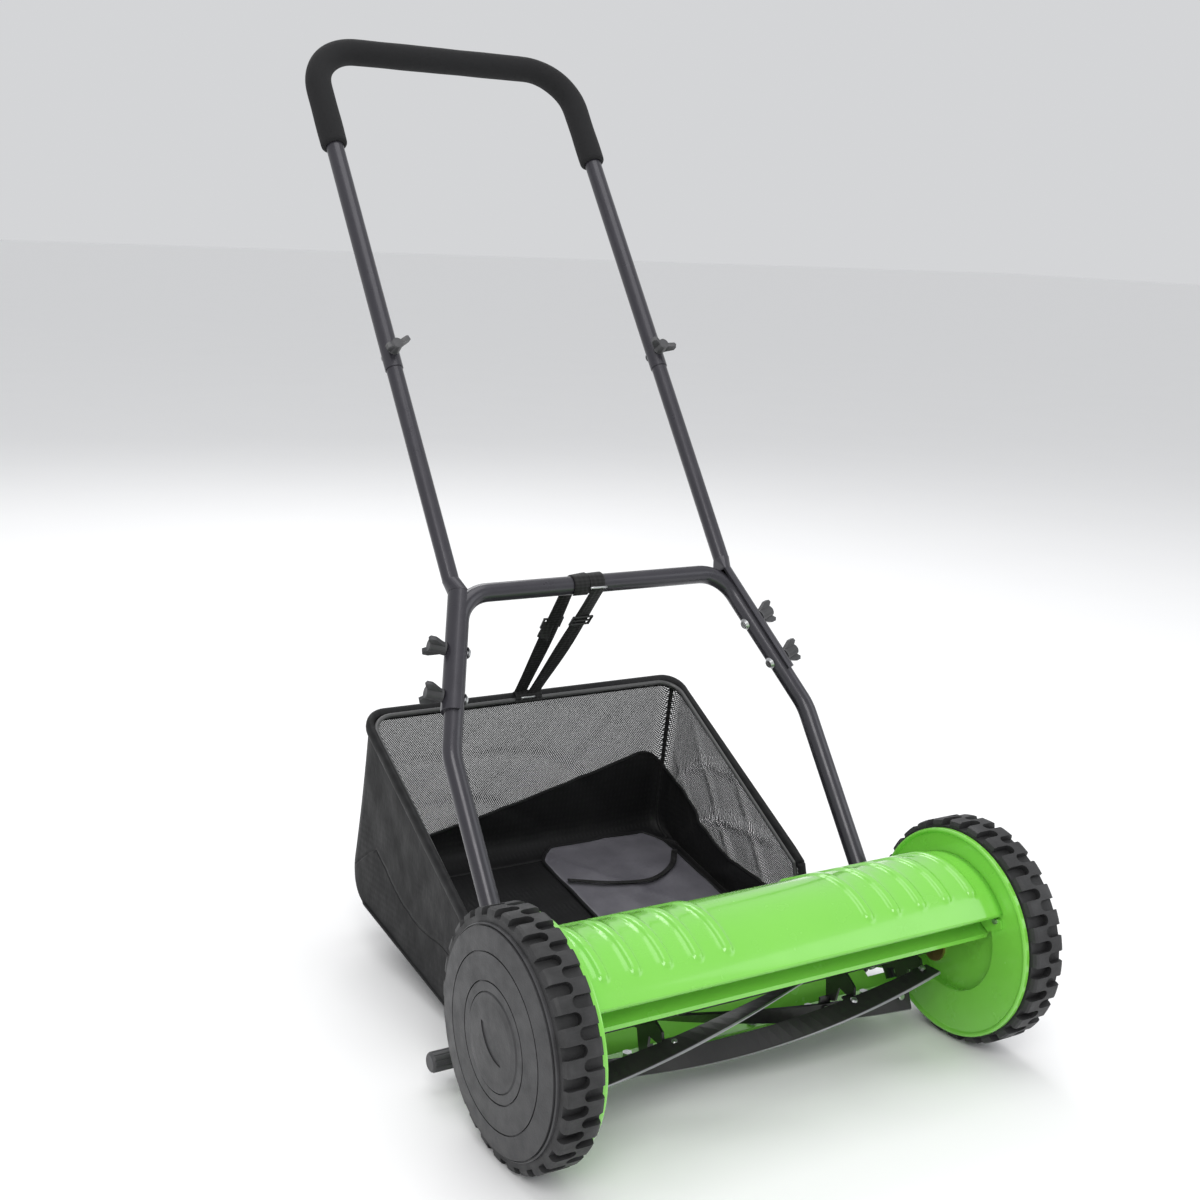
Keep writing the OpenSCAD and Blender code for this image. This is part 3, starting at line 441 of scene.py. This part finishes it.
def smooth_path(points, count):
    """A Catmull-Rom curve through the points, cut into even steps."""
    pts = [np.array(p, float) for p in points]
    pts = [2 * pts[0] - pts[1]] + pts + [2 * pts[-1] - pts[-2]]
    fine = []
    for i in range(1, len(pts) - 2):
        p0, p1, p2, p3 = pts[i - 1:i + 3]
        for t in np.linspace(0, 1, 24, endpoint=False):
            fine.append(0.5 * (2 * p1 + (p2 - p0) * t + (2 * p0 - 5 * p1 + 4 * p2 - p3) * t * t
                               + (3 * p1 - p0 - 3 * p2 + p3) * t ** 3))
    fine.append(pts[-2])
    fine = np.array(fine)
    run = np.concatenate([[0], np.cumsum(np.linalg.norm(np.diff(fine, axis=0), axis=1))])
    at = np.linspace(0, run[-1], count)
    return [Vector([np.interp(s, run, fine[:, k]) for k in range(3)]) for s in at]


# ---------------------------------------------------------------- driving places, from the frame

PIVOT = Vector(JOINTS["handle_float"]["pos_m"])
CROSSBAR = Vector(JOINTS["catcher_swing"]["pos_m"])
HANDLE_DIR = (CROSSBAR - PIVOT).normalized()
HANDLE_UP = Vector((0, -HANDLE_DIR.z, HANDLE_DIR.y))
WHEEL = Vector(JOINTS["wheel_left_spin"]["pos_m"])


def handle_point(x, s, n=0.0):
    """A point in the handle's plane: across, along from the pivot, and proud of it."""
    return Vector((x, PIVOT.y, PIVOT.z)) + HANDLE_DIR * s + HANDLE_UP * n


# ---------------------------------------------------------------- foam grip

GRIP_TUBE_X = 162 * MM
GRIP_BEND = 55 * MM
GRIP_END = 964 * MM
GRIP_BORE = 9.7 * MM
GRIP_LIP = 3.2 * MM
GRIP_SIDES = 36


def build_grip():
    """Foam sleeve over the top of the handle, with rounded ends and a slightly uneven skin."""
    low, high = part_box("foam_grip")
    radius = (high.x - low.x - 2 * GRIP_TUBE_X) / 2
    half, bend = high.x - radius, GRIP_BEND
    top = (high.z - radius - PIVOT.z) / HANDLE_DIR.z
    end = GRIP_END
    corners = []
    for k in range(13):
        turn = math.radians(7.5 * k)
        corners.append((half - bend + bend * math.cos(turn), top - bend + bend * math.sin(turn)))
    side = [(half, end + (top - bend - end) * k / 10) for k in range(10)]
    across = [((half - bend) * (1 - 2 * k / 14), top) for k in range(1, 14)]
    run = side + corners + across + [(-x, s) for x, s in reversed(side + corners)]
    path = [handle_point(x, s) for x, s in run]
    bare, lip = GRIP_BORE, GRIP_LIP
    path_points, frames = path_frames(path)
    lengths = [0.0]
    for a, b in zip(path_points, path_points[1:]):
        lengths.append(lengths[-1] + (b - a).length)
    profile = []
    for p, f, run_at in zip(path_points, frames, lengths):
        swell = 0.25 * MM * math.sin(run_at * 95.0) * math.sin(run_at * 33.0)
        profile.append((p, f, radius - 0.15 * MM + swell))
    head = (path_points[1] - path_points[0]).normalized()
    tail = (path_points[-1] - path_points[-2]).normalized()
    first, last = profile[0], profile[-1]
    rounded_end = ((0.6 * MM, bare), (0.0, bare + 1.0 * MM), (0.1 * MM, radius - lip),
                   (1.2 * MM, radius - 1.0 * MM), (lip, radius - 0.2 * MM))
    start = [(first[0] + head * d, first[1], r) for d, r in rounded_end]
    finish = [(last[0] - tail * d, last[1], r) for d, r in reversed(rounded_end)]
    rings = start + profile[1:-1] + finish
    points = []
    for p, (a, b), r in rings:
        for i in range(GRIP_SIDES):
            angle = 2 * math.pi * i / GRIP_SIDES
            points.append(p + a * (r * math.cos(angle)) + b * (r * math.sin(angle)))
    piece = new_piece("grip_foam", points, grid_faces(len(rings), GRIP_SIDES, wrap_columns=True),
                      MAT["foam"], "handle")
    flip_outward(piece)
    add_modifier(piece, "SUBSURF", levels=1, render_levels=1)
    apply_modifiers(piece)
    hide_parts("foam_grip")


build_grip()


# ---------------------------------------------------------------- enamelled cover

RIB_PLACES = (78, 109, 140, 171, 202)
RIB_FRONT = math.radians(127)
RIB_REACH = 6.5 * MM
BACK_TURN = 0.03
CHEEK_SECTION = ((78.7, 226.4), (64.5, 226.4), (64.0, 227.0), (64.5, 227.6), (78.7, 227.6))


def build_cover():
    """Pressed steel hood as one smooth sheet, with the ribs raised in it and rolled edges."""
    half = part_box("top_cover")[1].x - 0.2 * MM
    radius, thick, rib_h = 80 * MM, 1.5 * MM, 2.3 * MM
    lip, crest = math.radians(147), math.radians(63)
    profile = []
    steps = 56
    for k in range(steps + 1):
        turn = lip + (crest - lip) * k / steps
        out = Vector((0, math.cos(turn), math.sin(turn)))
        profile.append((WHEEL + out * radius, out, turn))
    back = Vector((0, math.sin(crest), -math.cos(crest)))
    out = Vector((0, math.cos(crest), math.sin(crest)))
    for k in range(1, 21):
        profile.append((WHEEL + out * radius + back * (50 * MM * k / 20), out, crest - BACK_TURN * k))
    rib_at = [sign * x * MM for x in RIB_PLACES for sign in (-1, 1)]
    columns = sorted({round(x, 6) for x in np.linspace(-half, half, 61)} | {
        round(r + d * MM, 6) for r in rib_at
        for d in (-6.5, -5.2, -4.2, -3.2, -2.0, -1.0, 0, 1.0, 2.0, 3.2, 4.2, 5.2, 6.5)
        if abs(r + d * MM) < half})

    def raised(x, turn):
        """Height of the ribs at a place: a soft bead with a round dimple end at the front."""
        front = RIB_FRONT
        rear = crest - BACK_TURN * 17
        for centre in rib_at:
            across = abs(x - centre)
            if across < RIB_REACH:
                along = 0.0
                if turn > front:
                    along = (turn - front) * radius
                elif turn < rear:
                    along = (rear - turn) / BACK_TURN * 2.5 * MM
                reach = math.hypot(across, along)
                if reach < RIB_REACH:
                    t = min(1.0, max(0.0, (RIB_REACH - reach) / (4.3 * MM)))
                    return rib_h * t * t * (3 - 2 * t)
        return 0.0

    outer, inner = [], []
    for p, n, turn in profile:
        for x in columns:
            lift = raised(x, turn)
            outer.append(p + n * lift + Vector((x, 0, 0)))
            inner.append(p + n * (lift - thick) + Vector((x, 0, 0)))
    rows, cols = len(profile), len(columns)
    count = rows * cols
    faces = grid_faces(rows, cols)
    faces += [tuple(count + i for i in reversed(f)) for f in grid_faces(rows, cols)]
    rim = [j for j in range(cols)] + [i * cols + cols - 1 for i in range(1, rows)]
    rim += [(rows - 1) * cols + j for j in range(cols - 2, -1, -1)]
    rim += [i * cols for i in range(rows - 2, 0, -1)]
    for a, b in zip(rim, rim[1:] + rim[:1]):
        faces.append((a, count + a, count + b, b))
    piece = new_piece("cover_shell", outer + inner, faces, MAT["lime_enamel"], "chassis")
    flip_outward(piece)
    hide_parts("top_cover")
    start, finish = profile[0][0], profile[-1][0]
    hem_in = (WHEEL - start).normalized()
    flange = Vector((0, math.cos(math.radians(-110)), math.sin(math.radians(-110))))
    ends = (("cover_hem", start - (start - WHEEL).normalized() * 0.9 * MM, hem_in, 6.5 * MM),
            ("cover_flange", finish - profile[-1][1] * 0.8 * MM, flange, 6.5 * MM))
    for name, at, way, length in ends:
        path = [Vector((x, at.y, at.z)) + way * (length / 2)
                for x in (-half, -half / 2, 0, half / 2, half)]
        section = [(-length / 2, -0.7 * MM), (length / 2, -0.7 * MM), (length / 2, 0.7 * MM),
                   (-length / 2, 0.7 * MM)]
        strip = sweep(name, path, section, MAT["lime_enamel"], "chassis",
                      sides=[way] * len(path))
        add_modifier(strip, "BEVEL", width=0.5 * MM, segments=3)
        apply_modifiers(strip)
    for sign in (-1, 1):
        points = []
        steps_side = 40
        for k in range(steps_side + 1):
            turn = lip - math.radians(4) + (crest - lip + math.radians(5)) * k / steps_side
            ray = Vector((0, math.cos(turn), math.sin(turn)))
            for r, x in CHEEK_SECTION:
                points.append(WHEEL + ray * (r * MM) + Vector((sign * x * MM, 0, 0)))
        faces = grid_faces(steps_side + 1, 5, wrap_columns=True)
        faces += [tuple(range(5)), tuple(range(5 * steps_side, 5 * steps_side + 5))]
        side = "left" if sign > 0 else "right"
        cheek = new_piece(f"cover_cheek_{side}", points, faces, MAT["lime_enamel"], "chassis",
                          smooth=False)
        flip_outward(cheek)


build_cover()


# ---------------------------------------------------------------- catcher bag

BAG_HALF = 197 * MM
BAG_ROUND = 22 * MM
LIP, FLOOR_FRONT = (166 * MM, 14.5 * MM), (238 * MM, 16.5 * MM)
REAR, RIM, FRONT = (480 * MM, 62 * MM), (451 * MM, 257 * MM), (196 * MM, 118 * MM)
SIDE_COLUMNS, ARC_COLUMNS, BACK_COLUMNS = 44, 8, 60
LOW_ROWS, NET_ROWS = 22, 26


def lerp(a, b, t):
    return tuple(x + (y - x) * t for x, y in zip(a, b))


def rear_line(v):
    """The rear wall's (y, z) from the floor (0), round the bottom corner and up to the rim (1)."""
    low, high = lerp(REAR, FLOOR_FRONT, 0.13), lerp(REAR, RIM, 0.15)
    if v < 0.18:
        t = v / 0.18
        return lerp(lerp(low, REAR, t), lerp(REAR, high, t), t)
    return lerp(high, RIM, (v - 0.18) / 0.82)


def wobble(x, y, z):
    """A smooth fixed unevenness from a few sines, from -1 to 1."""
    return (math.sin(31 * x + 17 * y + 1.3) * math.sin(23 * z - 11 * x + 0.7)
            + 0.6 * math.sin(57 * y + 43 * z + 2.1) * math.sin(49 * x + 5.0)
            + 0.35 * math.sin(101 * z - 83 * y) * math.sin(93 * x + 1.9)) / 1.95


def folds(run, rise):
    """Slack pulled into diagonal folds: sharp ridges with soft valleys between them, 0 to 1."""
    wave = math.sin(46 * run + 88 * rise + 2.2 * math.sin(19 * run - 11 * rise))
    return max(0.0, wave) ** 3 + 0.45 * max(0.0, math.sin(97 * run - 64 * rise + 0.8)) ** 4


def wall_plan(length):
    """The U that the walls follow at one level: (across, run) from the left front to the right."""
    side = [(BAG_HALF, (length - BAG_ROUND) * k / SIDE_COLUMNS) for k in range(SIDE_COLUMNS + 1)]
    arc = []
    for k in range(1, ARC_COLUMNS):
        turn = math.radians(90 * k / ARC_COLUMNS)
        arc.append((BAG_HALF - BAG_ROUND * (1 - math.cos(turn)),
                    length - BAG_ROUND * (1 - math.sin(turn))))
    straight = BAG_HALF - BAG_ROUND
    back = [(straight * (1 - 2 * k / BACK_COLUMNS), length) for k in range(BACK_COLUMNS + 1)]
    mirrored = [(-x, run) for x, run in reversed(side + arc)]
    return side + arc + back + mirrored


def wall_point(column, v):
    """A point of the walls: one column of the U, at a level v from the floor (0) to the rim (1)."""
    start, end = lerp(LIP, FRONT, v), rear_line(v)
    length = math.dist(start, end)
    x, run = wall_plan(length)[column]
    u = run / length
    y, z = lerp(start, end, u)
    dip = u / 0.25 if u < 0.25 else (1 - u) / 0.75
    z -= 7.5 * MM * dip * (1 - v) ** 2
    low = (1 - v) ** 2
    width = 1 + 0.035 * low * u
    between = max(0.0, math.sin(math.pi * v)) ** 0.8
    edge = abs(x) / BAG_HALF
    if edge > 0.999:
        mid = max(0.0, math.sin(math.pi * min(1.0, u * 1.04))) ** 0.7
        side = 1 if x > 0 else -1
        fold_depth = (4.5 if side > 0 else 1.1) * MM
        push = (2.2 * MM + 2.6 * MM * wobble(side * 0.3, y, z)
                + fold_depth * folds(y, side * 0.1 + z)) * between * mid
        return Vector((x * width - side * push, y, z))
    spread = max(0.0, 1 - (x / (BAG_HALF - BAG_ROUND)) ** 2)
    push = (3.0 * MM * wobble(x, y, z) + 2.2 * MM * folds(x * 0.7, z) - 1.5 * MM) * between
    push *= spread ** 0.6
    return Vector((x * width, y + push, z))


def net_start(column):
    """The level where the net takes over from solid cloth on a column of the wall."""
    length = math.dist(lerp(LIP, FRONT, 0.5), rear_line(0.5))
    x, run = wall_plan(length)[column]
    t = (x / BAG_HALF + 1) / 2
    back = 84 * MM + 90 * MM * t ** 1.2 - 34 * MM * max(0.0, (t - 0.9) / 0.1) ** 2
    back_level = max(0.12, 0.18 + 0.82 * (back - 91 * MM) / (166 * MM))
    u = run / length
    if abs(x) < BAG_HALF - BAG_ROUND + 1e-6:
        return back_level
    rising = 0.40 - 0.06 * math.sin(math.pi * u) + 0.05 * math.sin(9 * u)
    mix = max(0.0, min(1.0, (u - 0.80) / 0.16))
    return rising * (1 - mix) + back_level * mix


def cloth_piece(name, grid, material, thick=1.0 * MM):
    """A sheet of cloth from rows of points, with its thickness."""
    points = [p for row in grid for p in row]
    piece = new_piece(name, points, grid_faces(len(grid), len(grid[0])), material, "catcher")
    add_modifier(piece, "SOLIDIFY", thickness=thick, offset=0.0)
    apply_modifiers(piece)
    piece.data.shade_smooth()
    return piece


def tube_binding(name, path, radius, count=None):
    path = smooth_path(path, count) if count else path
    return sweep(name, path, round_section(radius, 14), MAT["binding"], "catcher")


def build_bag():
    columns = 2 * (SIDE_COLUMNS + ARC_COLUMNS) + BACK_COLUMNS + 1
    solid_side = columns - SIDE_COLUMNS - ARC_COLUMNS // 2
    starts = [net_start(c) for c in range(columns)]
    rows = [[wall_point(c, starts[c] * j / LOW_ROWS) for c in range(columns)]
            for j in range(LOW_ROWS + 1)]
    upper = [[wall_point(c, starts[c] + (1 - starts[c]) * j / NET_ROWS) for c in range(columns)]
             for j in range(NET_ROWS + 1)]
    solid = cloth_piece("bag_wall_cloth", rows, MAT["bag_cloth"])
    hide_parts("catcher_bag")
    cloth_piece("bag_wall_net", [row[:solid_side + 1] for row in upper], MAT["net"], 0.25 * MM)
    cloth_piece("bag_wall_right", [row[solid_side:] for row in upper], MAT["bag_cloth"])
    floor = []
    half_count = SIDE_COLUMNS + ARC_COLUMNS
    for k in range(half_count + 1):
        left, right = rows[0][k], rows[0][columns - 1 - k]
        line = []
        for i in range(49):
            t = i / 48
            p = left.lerp(right, t)
            middle = math.sin(math.pi * t) * math.sin(math.pi * k / half_count)
            p.z += middle * (1.4 * MM + 1.3 * MM * wobble(p.x, p.y, 0.1))
            line.append(p)
        floor.append(line)
    cloth_piece("bag_floor_cloth", floor, MAT["bag_cloth"])
    tape = [Vector(p) for p in rows[LOW_ROWS][:solid_side + 1]]
    centre = Vector((0, 0.33, 0.14))
    tape = [p + (centre - p).normalized() * 0.9 * MM for p in tape]
    tube_binding("bag_net_seam", tape, 1.5 * MM, 150)
    for side, corner in (("left", SIDE_COLUMNS + ARC_COLUMNS // 2),
                         ("right", columns - 1 - SIDE_COLUMNS - ARC_COLUMNS // 2)):
        seam = [wall_point(corner, v) for v in np.linspace(0.02, 0.97, 24)]
        tube_binding(f"bag_corner_piping_{side}", seam, 2.4 * MM, 50)
    outline = [p + Vector((0, 0, 0.6 * MM)) for p in rows[0]]
    tube_binding("bag_floor_piping", outline, 1.7 * MM, 220)
    rim = [p - Vector((0, 0, 2.6 * MM)) for p in upper[NET_ROWS]]
    tuck_in = Vector((0, 0.5 * MM, -1 * MM))
    rim = [rim[0] + tuck_in] + rim[3:-3] + [rim[-1] + tuck_in]
    rim = smooth_path(rim, 240)
    ahead = rim[1:] + rim[-1:]
    sides = [(b - a).cross(Vector((0, 0, 1))) if (b - a).length > 0 else Vector((1, 0, 0))
             for a, b in zip(rim, ahead)]
    sides[-1] = sides[-2]
    sweep("bag_rim_binding", rim, flat_round(4.4 * MM, 6.8 * MM), MAT["binding"], "catcher",
          sides=sides)
    for sign, side in ((1, "left"), (-1, "right")):
        mouth = [Vector((sign * BAG_HALF, *lerp(LIP, FRONT, v))) for v in (0.98, 0.7, 0.35, 0.05)]
        tube_binding(f"bag_mouth_binding_{side}", mouth, 4.4 * MM, 30)
    lip = [Vector((BAG_HALF * (1 - 2 * k / 20), LIP[0] + 3 * MM, LIP[1] + 2.5 * MM))
           for k in range(21)]
    tube_binding("bag_lip_binding", lip, 3.6 * MM)
    return floor


def flat_round(wide, tall, count=18):
    """An oval section for tape folded over a wire."""
    return [(wide * math.cos(2 * math.pi * k / count), tall * math.sin(2 * math.pi * k / count))
            for k in range(count)]


def build_floor_panel(floor):
    """A grey stiffener over half of the floor, with rounded corners, a crease and a dark band."""
    def on_floor(x, y, lift):
        row = min(floor, key=lambda line: abs(line[24].y - y))
        best = min(row, key=lambda p: abs(p.x - x))
        slope = (REAR[1] - FLOOR_FRONT[1]) / (REAR[0] - FLOOR_FRONT[0])
        rounding = max(0.0, y - 0.446) ** 2 * 14
        return Vector((x, y, best.z + (y - row[24].y) * slope + rounding + lift))

    low_x, high_x, low_y, high_y = 22 * MM, 188 * MM, 246 * MM, 462 * MM
    grid = []
    for j in range(41):
        t = j / 40
        tuck = 20 * MM * max(0.0, 1 - min(t, 1 - t) / 0.12) ** 2
        y = low_y + (high_y - low_y) * t
        row = []
        for k in range(33):
            x = low_x + tuck + (high_x - low_x - 2 * tuck) * k / 32
            crease = abs((x - 66 * MM) * 0.94 + (y - 446 * MM) * 0.72 + 30 * MM)
            lift = 2.6 * MM + 2.0 * MM * max(0.0, 1 - crease / (7 * MM)) ** 1.5
            row.append(on_floor(x, y, lift + 1.2 * MM * wobble(x * 2, y * 2, 0.3)))
        grid.append(row)
    cloth_piece("bag_floor_sheet", grid, MAT["floor_sheet"], 1.0 * MM)
    edge = list(grid[0]) + [row[-1] for row in grid[1:]] + list(grid[-1][-2::-1])
    edge += [row[0] for row in grid[-2:0:-1]]
    tube_binding("bag_floor_sheet_hem", edge, 2.0 * MM, 150)
    band = [on_floor(x * MM, y * MM, 7 * MM) for x, y in
            ((26, 392), (74, 372), (122, 366), (160, 384), (183, 412))]
    path = smooth_path(band, 50)
    sweep("bag_inner_strap", path, tape_section(7 * MM, 1.6 * MM), MAT["webbing"], "catcher",
          sides=[(0, 1, 0)] * len(path))


build_floor_panel(build_bag())


# ---------------------------------------------------------------- catcher straps

STRAP_W = 18 * MM
STRAP_T = 1.6 * MM
STRAP_END = Vector((0, RIM[0] - 1 * MM, RIM[1] + 3 * MM))
STRAP_DIR = (STRAP_END - CROSSBAR).normalized()
STRAP_UP = Vector((0, -STRAP_DIR.z, STRAP_DIR.y))
BAR_R = 9.5 * MM
STRAP_POINTS = 110
STRAP_WRAP = 195
REAR_SLIDER_AT, FRONT_SLIDER_AT = 0.485, 0.358


def strap_loop(x, rim_x, way, turn):
    """Tape round the crossbar and back down to the rim. way is +1 on the upper side."""
    reach = BAR_R + 1.3 * MM
    start = math.atan2(STRAP_UP.z * way, STRAP_UP.y * way)
    wrap = []
    for k in range(17):
        angle = start + way * math.radians(turn) * (1 - k / 16)
        wrap.append(CROSSBAR + Vector((x, reach * math.cos(angle), reach * math.sin(angle))))
    run = []
    for k in range(1, 25):
        t = k / 24
        offset = STRAP_UP * way * (reach * (1 - t) + 1.6 * MM * t)
        slack = -2.4 * MM * math.sin(math.pi * t)
        run.append(CROSSBAR + STRAP_DIR * ((STRAP_END - CROSSBAR).length * t) + offset
                   + Vector((x + (rim_x - x) * t, 0, slack)))
    return wrap + run


def build_strap(name, x, rim_x, way, turn):
    path = smooth_path(strap_loop(x, rim_x, way, turn), STRAP_POINTS)
    count = len(path)
    sides = []
    for k in range(count):
        twist = math.radians(6) * math.sin(2.6 * math.pi * k / count)
        sides.append((math.cos(twist), math.sin(twist) * 0.5, math.sin(twist)))
    piece = sweep(name, path, tape_section(STRAP_W, STRAP_T), MAT["webbing"], "catcher",
                  sides=sides)
    return piece, path


def slider(name, path, at, way, width, tall, material):
    """A ladder-lock slider: a frame with two bars that sits round the tape."""
    index = int(at * (len(path) - 1))
    here = path[index]
    along = (path[index + 1] - path[index - 1]).normalized()
    across = Vector((1, 0, 0))
    up = along.cross(across).normalized() * (1 if way > 0 else -1)
    up = up if up.dot(STRAP_UP * way) > 0 else -up
    w, t, bar = width / 2, tall / 2, 2.2 * MM
    rim = [(-w, -t), (w, -t), (w, t), (-w, t), (-w, -t)]
    pieces = [(a, b, bar) for a, b in zip(rim, rim[1:])] + [((-w, 0), (w, 0), bar * 0.85)]
    mesh = bmesh.new()
    for a, b, size in pieces:
        start = here + across * a[0] + along * a[1] + up * (1.9 * MM)
        end = here + across * b[0] + along * b[1] + up * (1.9 * MM)
        way_on = (end - start)
        rotation = way_on.to_track_quat("Z", "Y").to_matrix().to_4x4()
        place = Matrix.Translation((start + end) / 2) @ rotation
        bmesh.ops.create_cube(mesh, size=1.0, matrix=place @ Matrix.Diagonal(
            (size, size, way_on.length + size, 1.0)))
    data = bpy.data.meshes.new(name)
    mesh.to_mesh(data)
    mesh.free()
    piece = bpy.data.objects.new(name, data)
    bpy.context.scene.collection.objects.link(piece)
    data.materials.append(material)
    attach(piece, "catcher")
    add_modifier(piece, "REMESH", mode="VOXEL", voxel_size=0.35 * MM)
    add_modifier(piece, "SMOOTH", factor=0.6, iterations=3)
    apply_modifiers(piece)
    piece.data.shade_smooth()
    return piece


def build_straps():
    upper, upper_path = build_strap("strap_rear", -23 * MM, -10 * MM, 1, STRAP_WRAP)
    _, lower_path = build_strap("strap_front", -5 * MM, 5 * MM, -1, STRAP_WRAP)
    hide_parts("catcher_straps")
    first = slider("slider_rear", upper_path, REAR_SLIDER_AT, 1, 22 * MM, 14 * MM,
                   MAT["buckle_plastic"])
    slider("slider_front", lower_path, FRONT_SLIDER_AT, -1, 22 * MM, 13 * MM,
           MAT["buckle_plastic"])
    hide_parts("strap_buckles")
    start = upper_path[int(REAR_SLIDER_AT * (STRAP_POINTS - 1))]
    tail = [start + Vector((-1, 0, 0.5)) * 3 * MM, start + Vector((-2, 1, -2.5)) * 3 * MM,
            start + Vector((-3.4, 1.2, -5.4)) * 3 * MM]
    path = smooth_path(tail, 16)
    sweep("strap_tail", path, tape_section(STRAP_W * 0.8, STRAP_T), MAT["webbing"], "catcher",
          sides=[(1, 0, 0.1)] * len(path))
    patch = [STRAP_END + Vector((-3 * MM, y * MM, z * MM)) for y, z in
             ((3.0, -0.5), (-2.0, 2.6), (-6.5, -1.5), (-7.5, -9.0))]
    path = smooth_path(patch, 20)
    sweep("strap_anchor", path, tape_section(33 * MM, 1.4 * MM), MAT["webbing"], "catcher",
          sides=[(1, 0, 0)] * len(path))
    bars = (("strap_bar_rim", STRAP_END + Vector((-5 * MM, -8.6 * MM, -3.0 * MM)), 8.5 * MM),
            ("strap_bar_top", CROSSBAR + Vector((-5 * MM, -12.6 * MM, -1.5 * MM)), 9.5 * MM))
    for name, place, half in bars:
        path = [place + Vector((half * t, 0, 0)) for t in (-1, -0.5, 0, 0.5, 1)]
        sweep(name, path, round_section(1.3 * MM, 12), MAT["zinc_steel"], "catcher")


build_straps()


# ---------------------------------------------------------------- floor, light and camera

def build_stage():
    mesh = bpy.data.meshes.new("floor")
    size = 40.0
    mesh.from_pydata([(-size, -size, 0), (size, -size, 0), (size, size, 0), (-size, size, 0)], [],
                     [(0, 1, 2, 3)])
    floor = bpy.data.objects.new("floor", mesh)
    bpy.context.scene.collection.objects.link(floor)
    g = Graph("floor_paper")
    at = g.place()
    tone = g.mix(g.noise(at, 3.0), (0.93, 0.93, 0.93), (0.95, 0.95, 0.95))
    grain = g.bump(g.noise(at, 300.0), 0.0002, 0.2)
    mesh.materials.append(g.finish(tone, 0.75, grain, specular=0.2))
    world = bpy.data.worlds.new("studio")
    world.use_nodes = True
    back = world.node_tree.nodes["Background"]
    back.inputs["Color"].default_value = (0.97, 0.98, 1.0, 1.0)
    back.inputs["Strength"].default_value = 0.68
    bpy.context.scene.world = world
    lights = (("key", (-1.6, -2.0, 2.6), 1.6, 41.0, (1.0, 0.99, 0.97)),
              ("fill", (2.4, -1.4, 1.6), 1.8, 13.0, (0.95, 0.98, 1.0)),
              ("rim", (0.6, 2.6, 2.4), 1.6, 27.0, (1.0, 1.0, 1.0)),
              ("top", (0.0, 0.2, 3.2), 2.2, 27.0, (1.0, 1.0, 1.0)))
    aim = Vector((0, 0.2, 0.35))
    for name, place, size, power, colour in lights:
        data = bpy.data.lights.new(name, "AREA")
        data.shape = "SQUARE"
        data.size = size
        data.energy = power
        data.color = colour
        light = bpy.data.objects.new(name, data)
        light.location = place
        light.rotation_euler = (aim - Vector(place)).to_track_quat("-Z", "Y").to_euler()
        bpy.context.scene.collection.objects.link(light)


CAMERA_PLACE = (-0.8678, -1.0923, 0.7623)
CAMERA_TURN = (31.8, -12.56, 2.48)
CAMERA_LENS = 49.43


def build_camera():
    """CAMERA_TURN is yaw from straight ahead (+Y), pitch and roll, in degrees."""
    yaw, pitch, roll = (math.radians(angle) for angle in CAMERA_TURN)
    forward = Vector((math.sin(yaw) * math.cos(pitch), math.cos(yaw) * math.cos(pitch),
                      math.sin(pitch)))
    right = Vector((math.cos(yaw), -math.sin(yaw), 0))
    up = right.cross(forward)
    right_rolled = right * math.cos(roll) + up * math.sin(roll)
    up_rolled = up * math.cos(roll) - right * math.sin(roll)
    data = bpy.data.cameras.new("camera")
    data.sensor_width = 36.0
    data.lens = CAMERA_LENS
    camera = bpy.data.objects.new("camera", data)
    rotation = Matrix((right_rolled, up_rolled, -forward)).transposed()
    camera.matrix_world = Matrix.Translation(CAMERA_PLACE) @ rotation.to_4x4()
    bpy.context.scene.collection.objects.link(camera)
    bpy.context.scene.camera = camera


build_stage()
build_camera()
bpy.context.scene.view_settings.view_transform = "Standard"
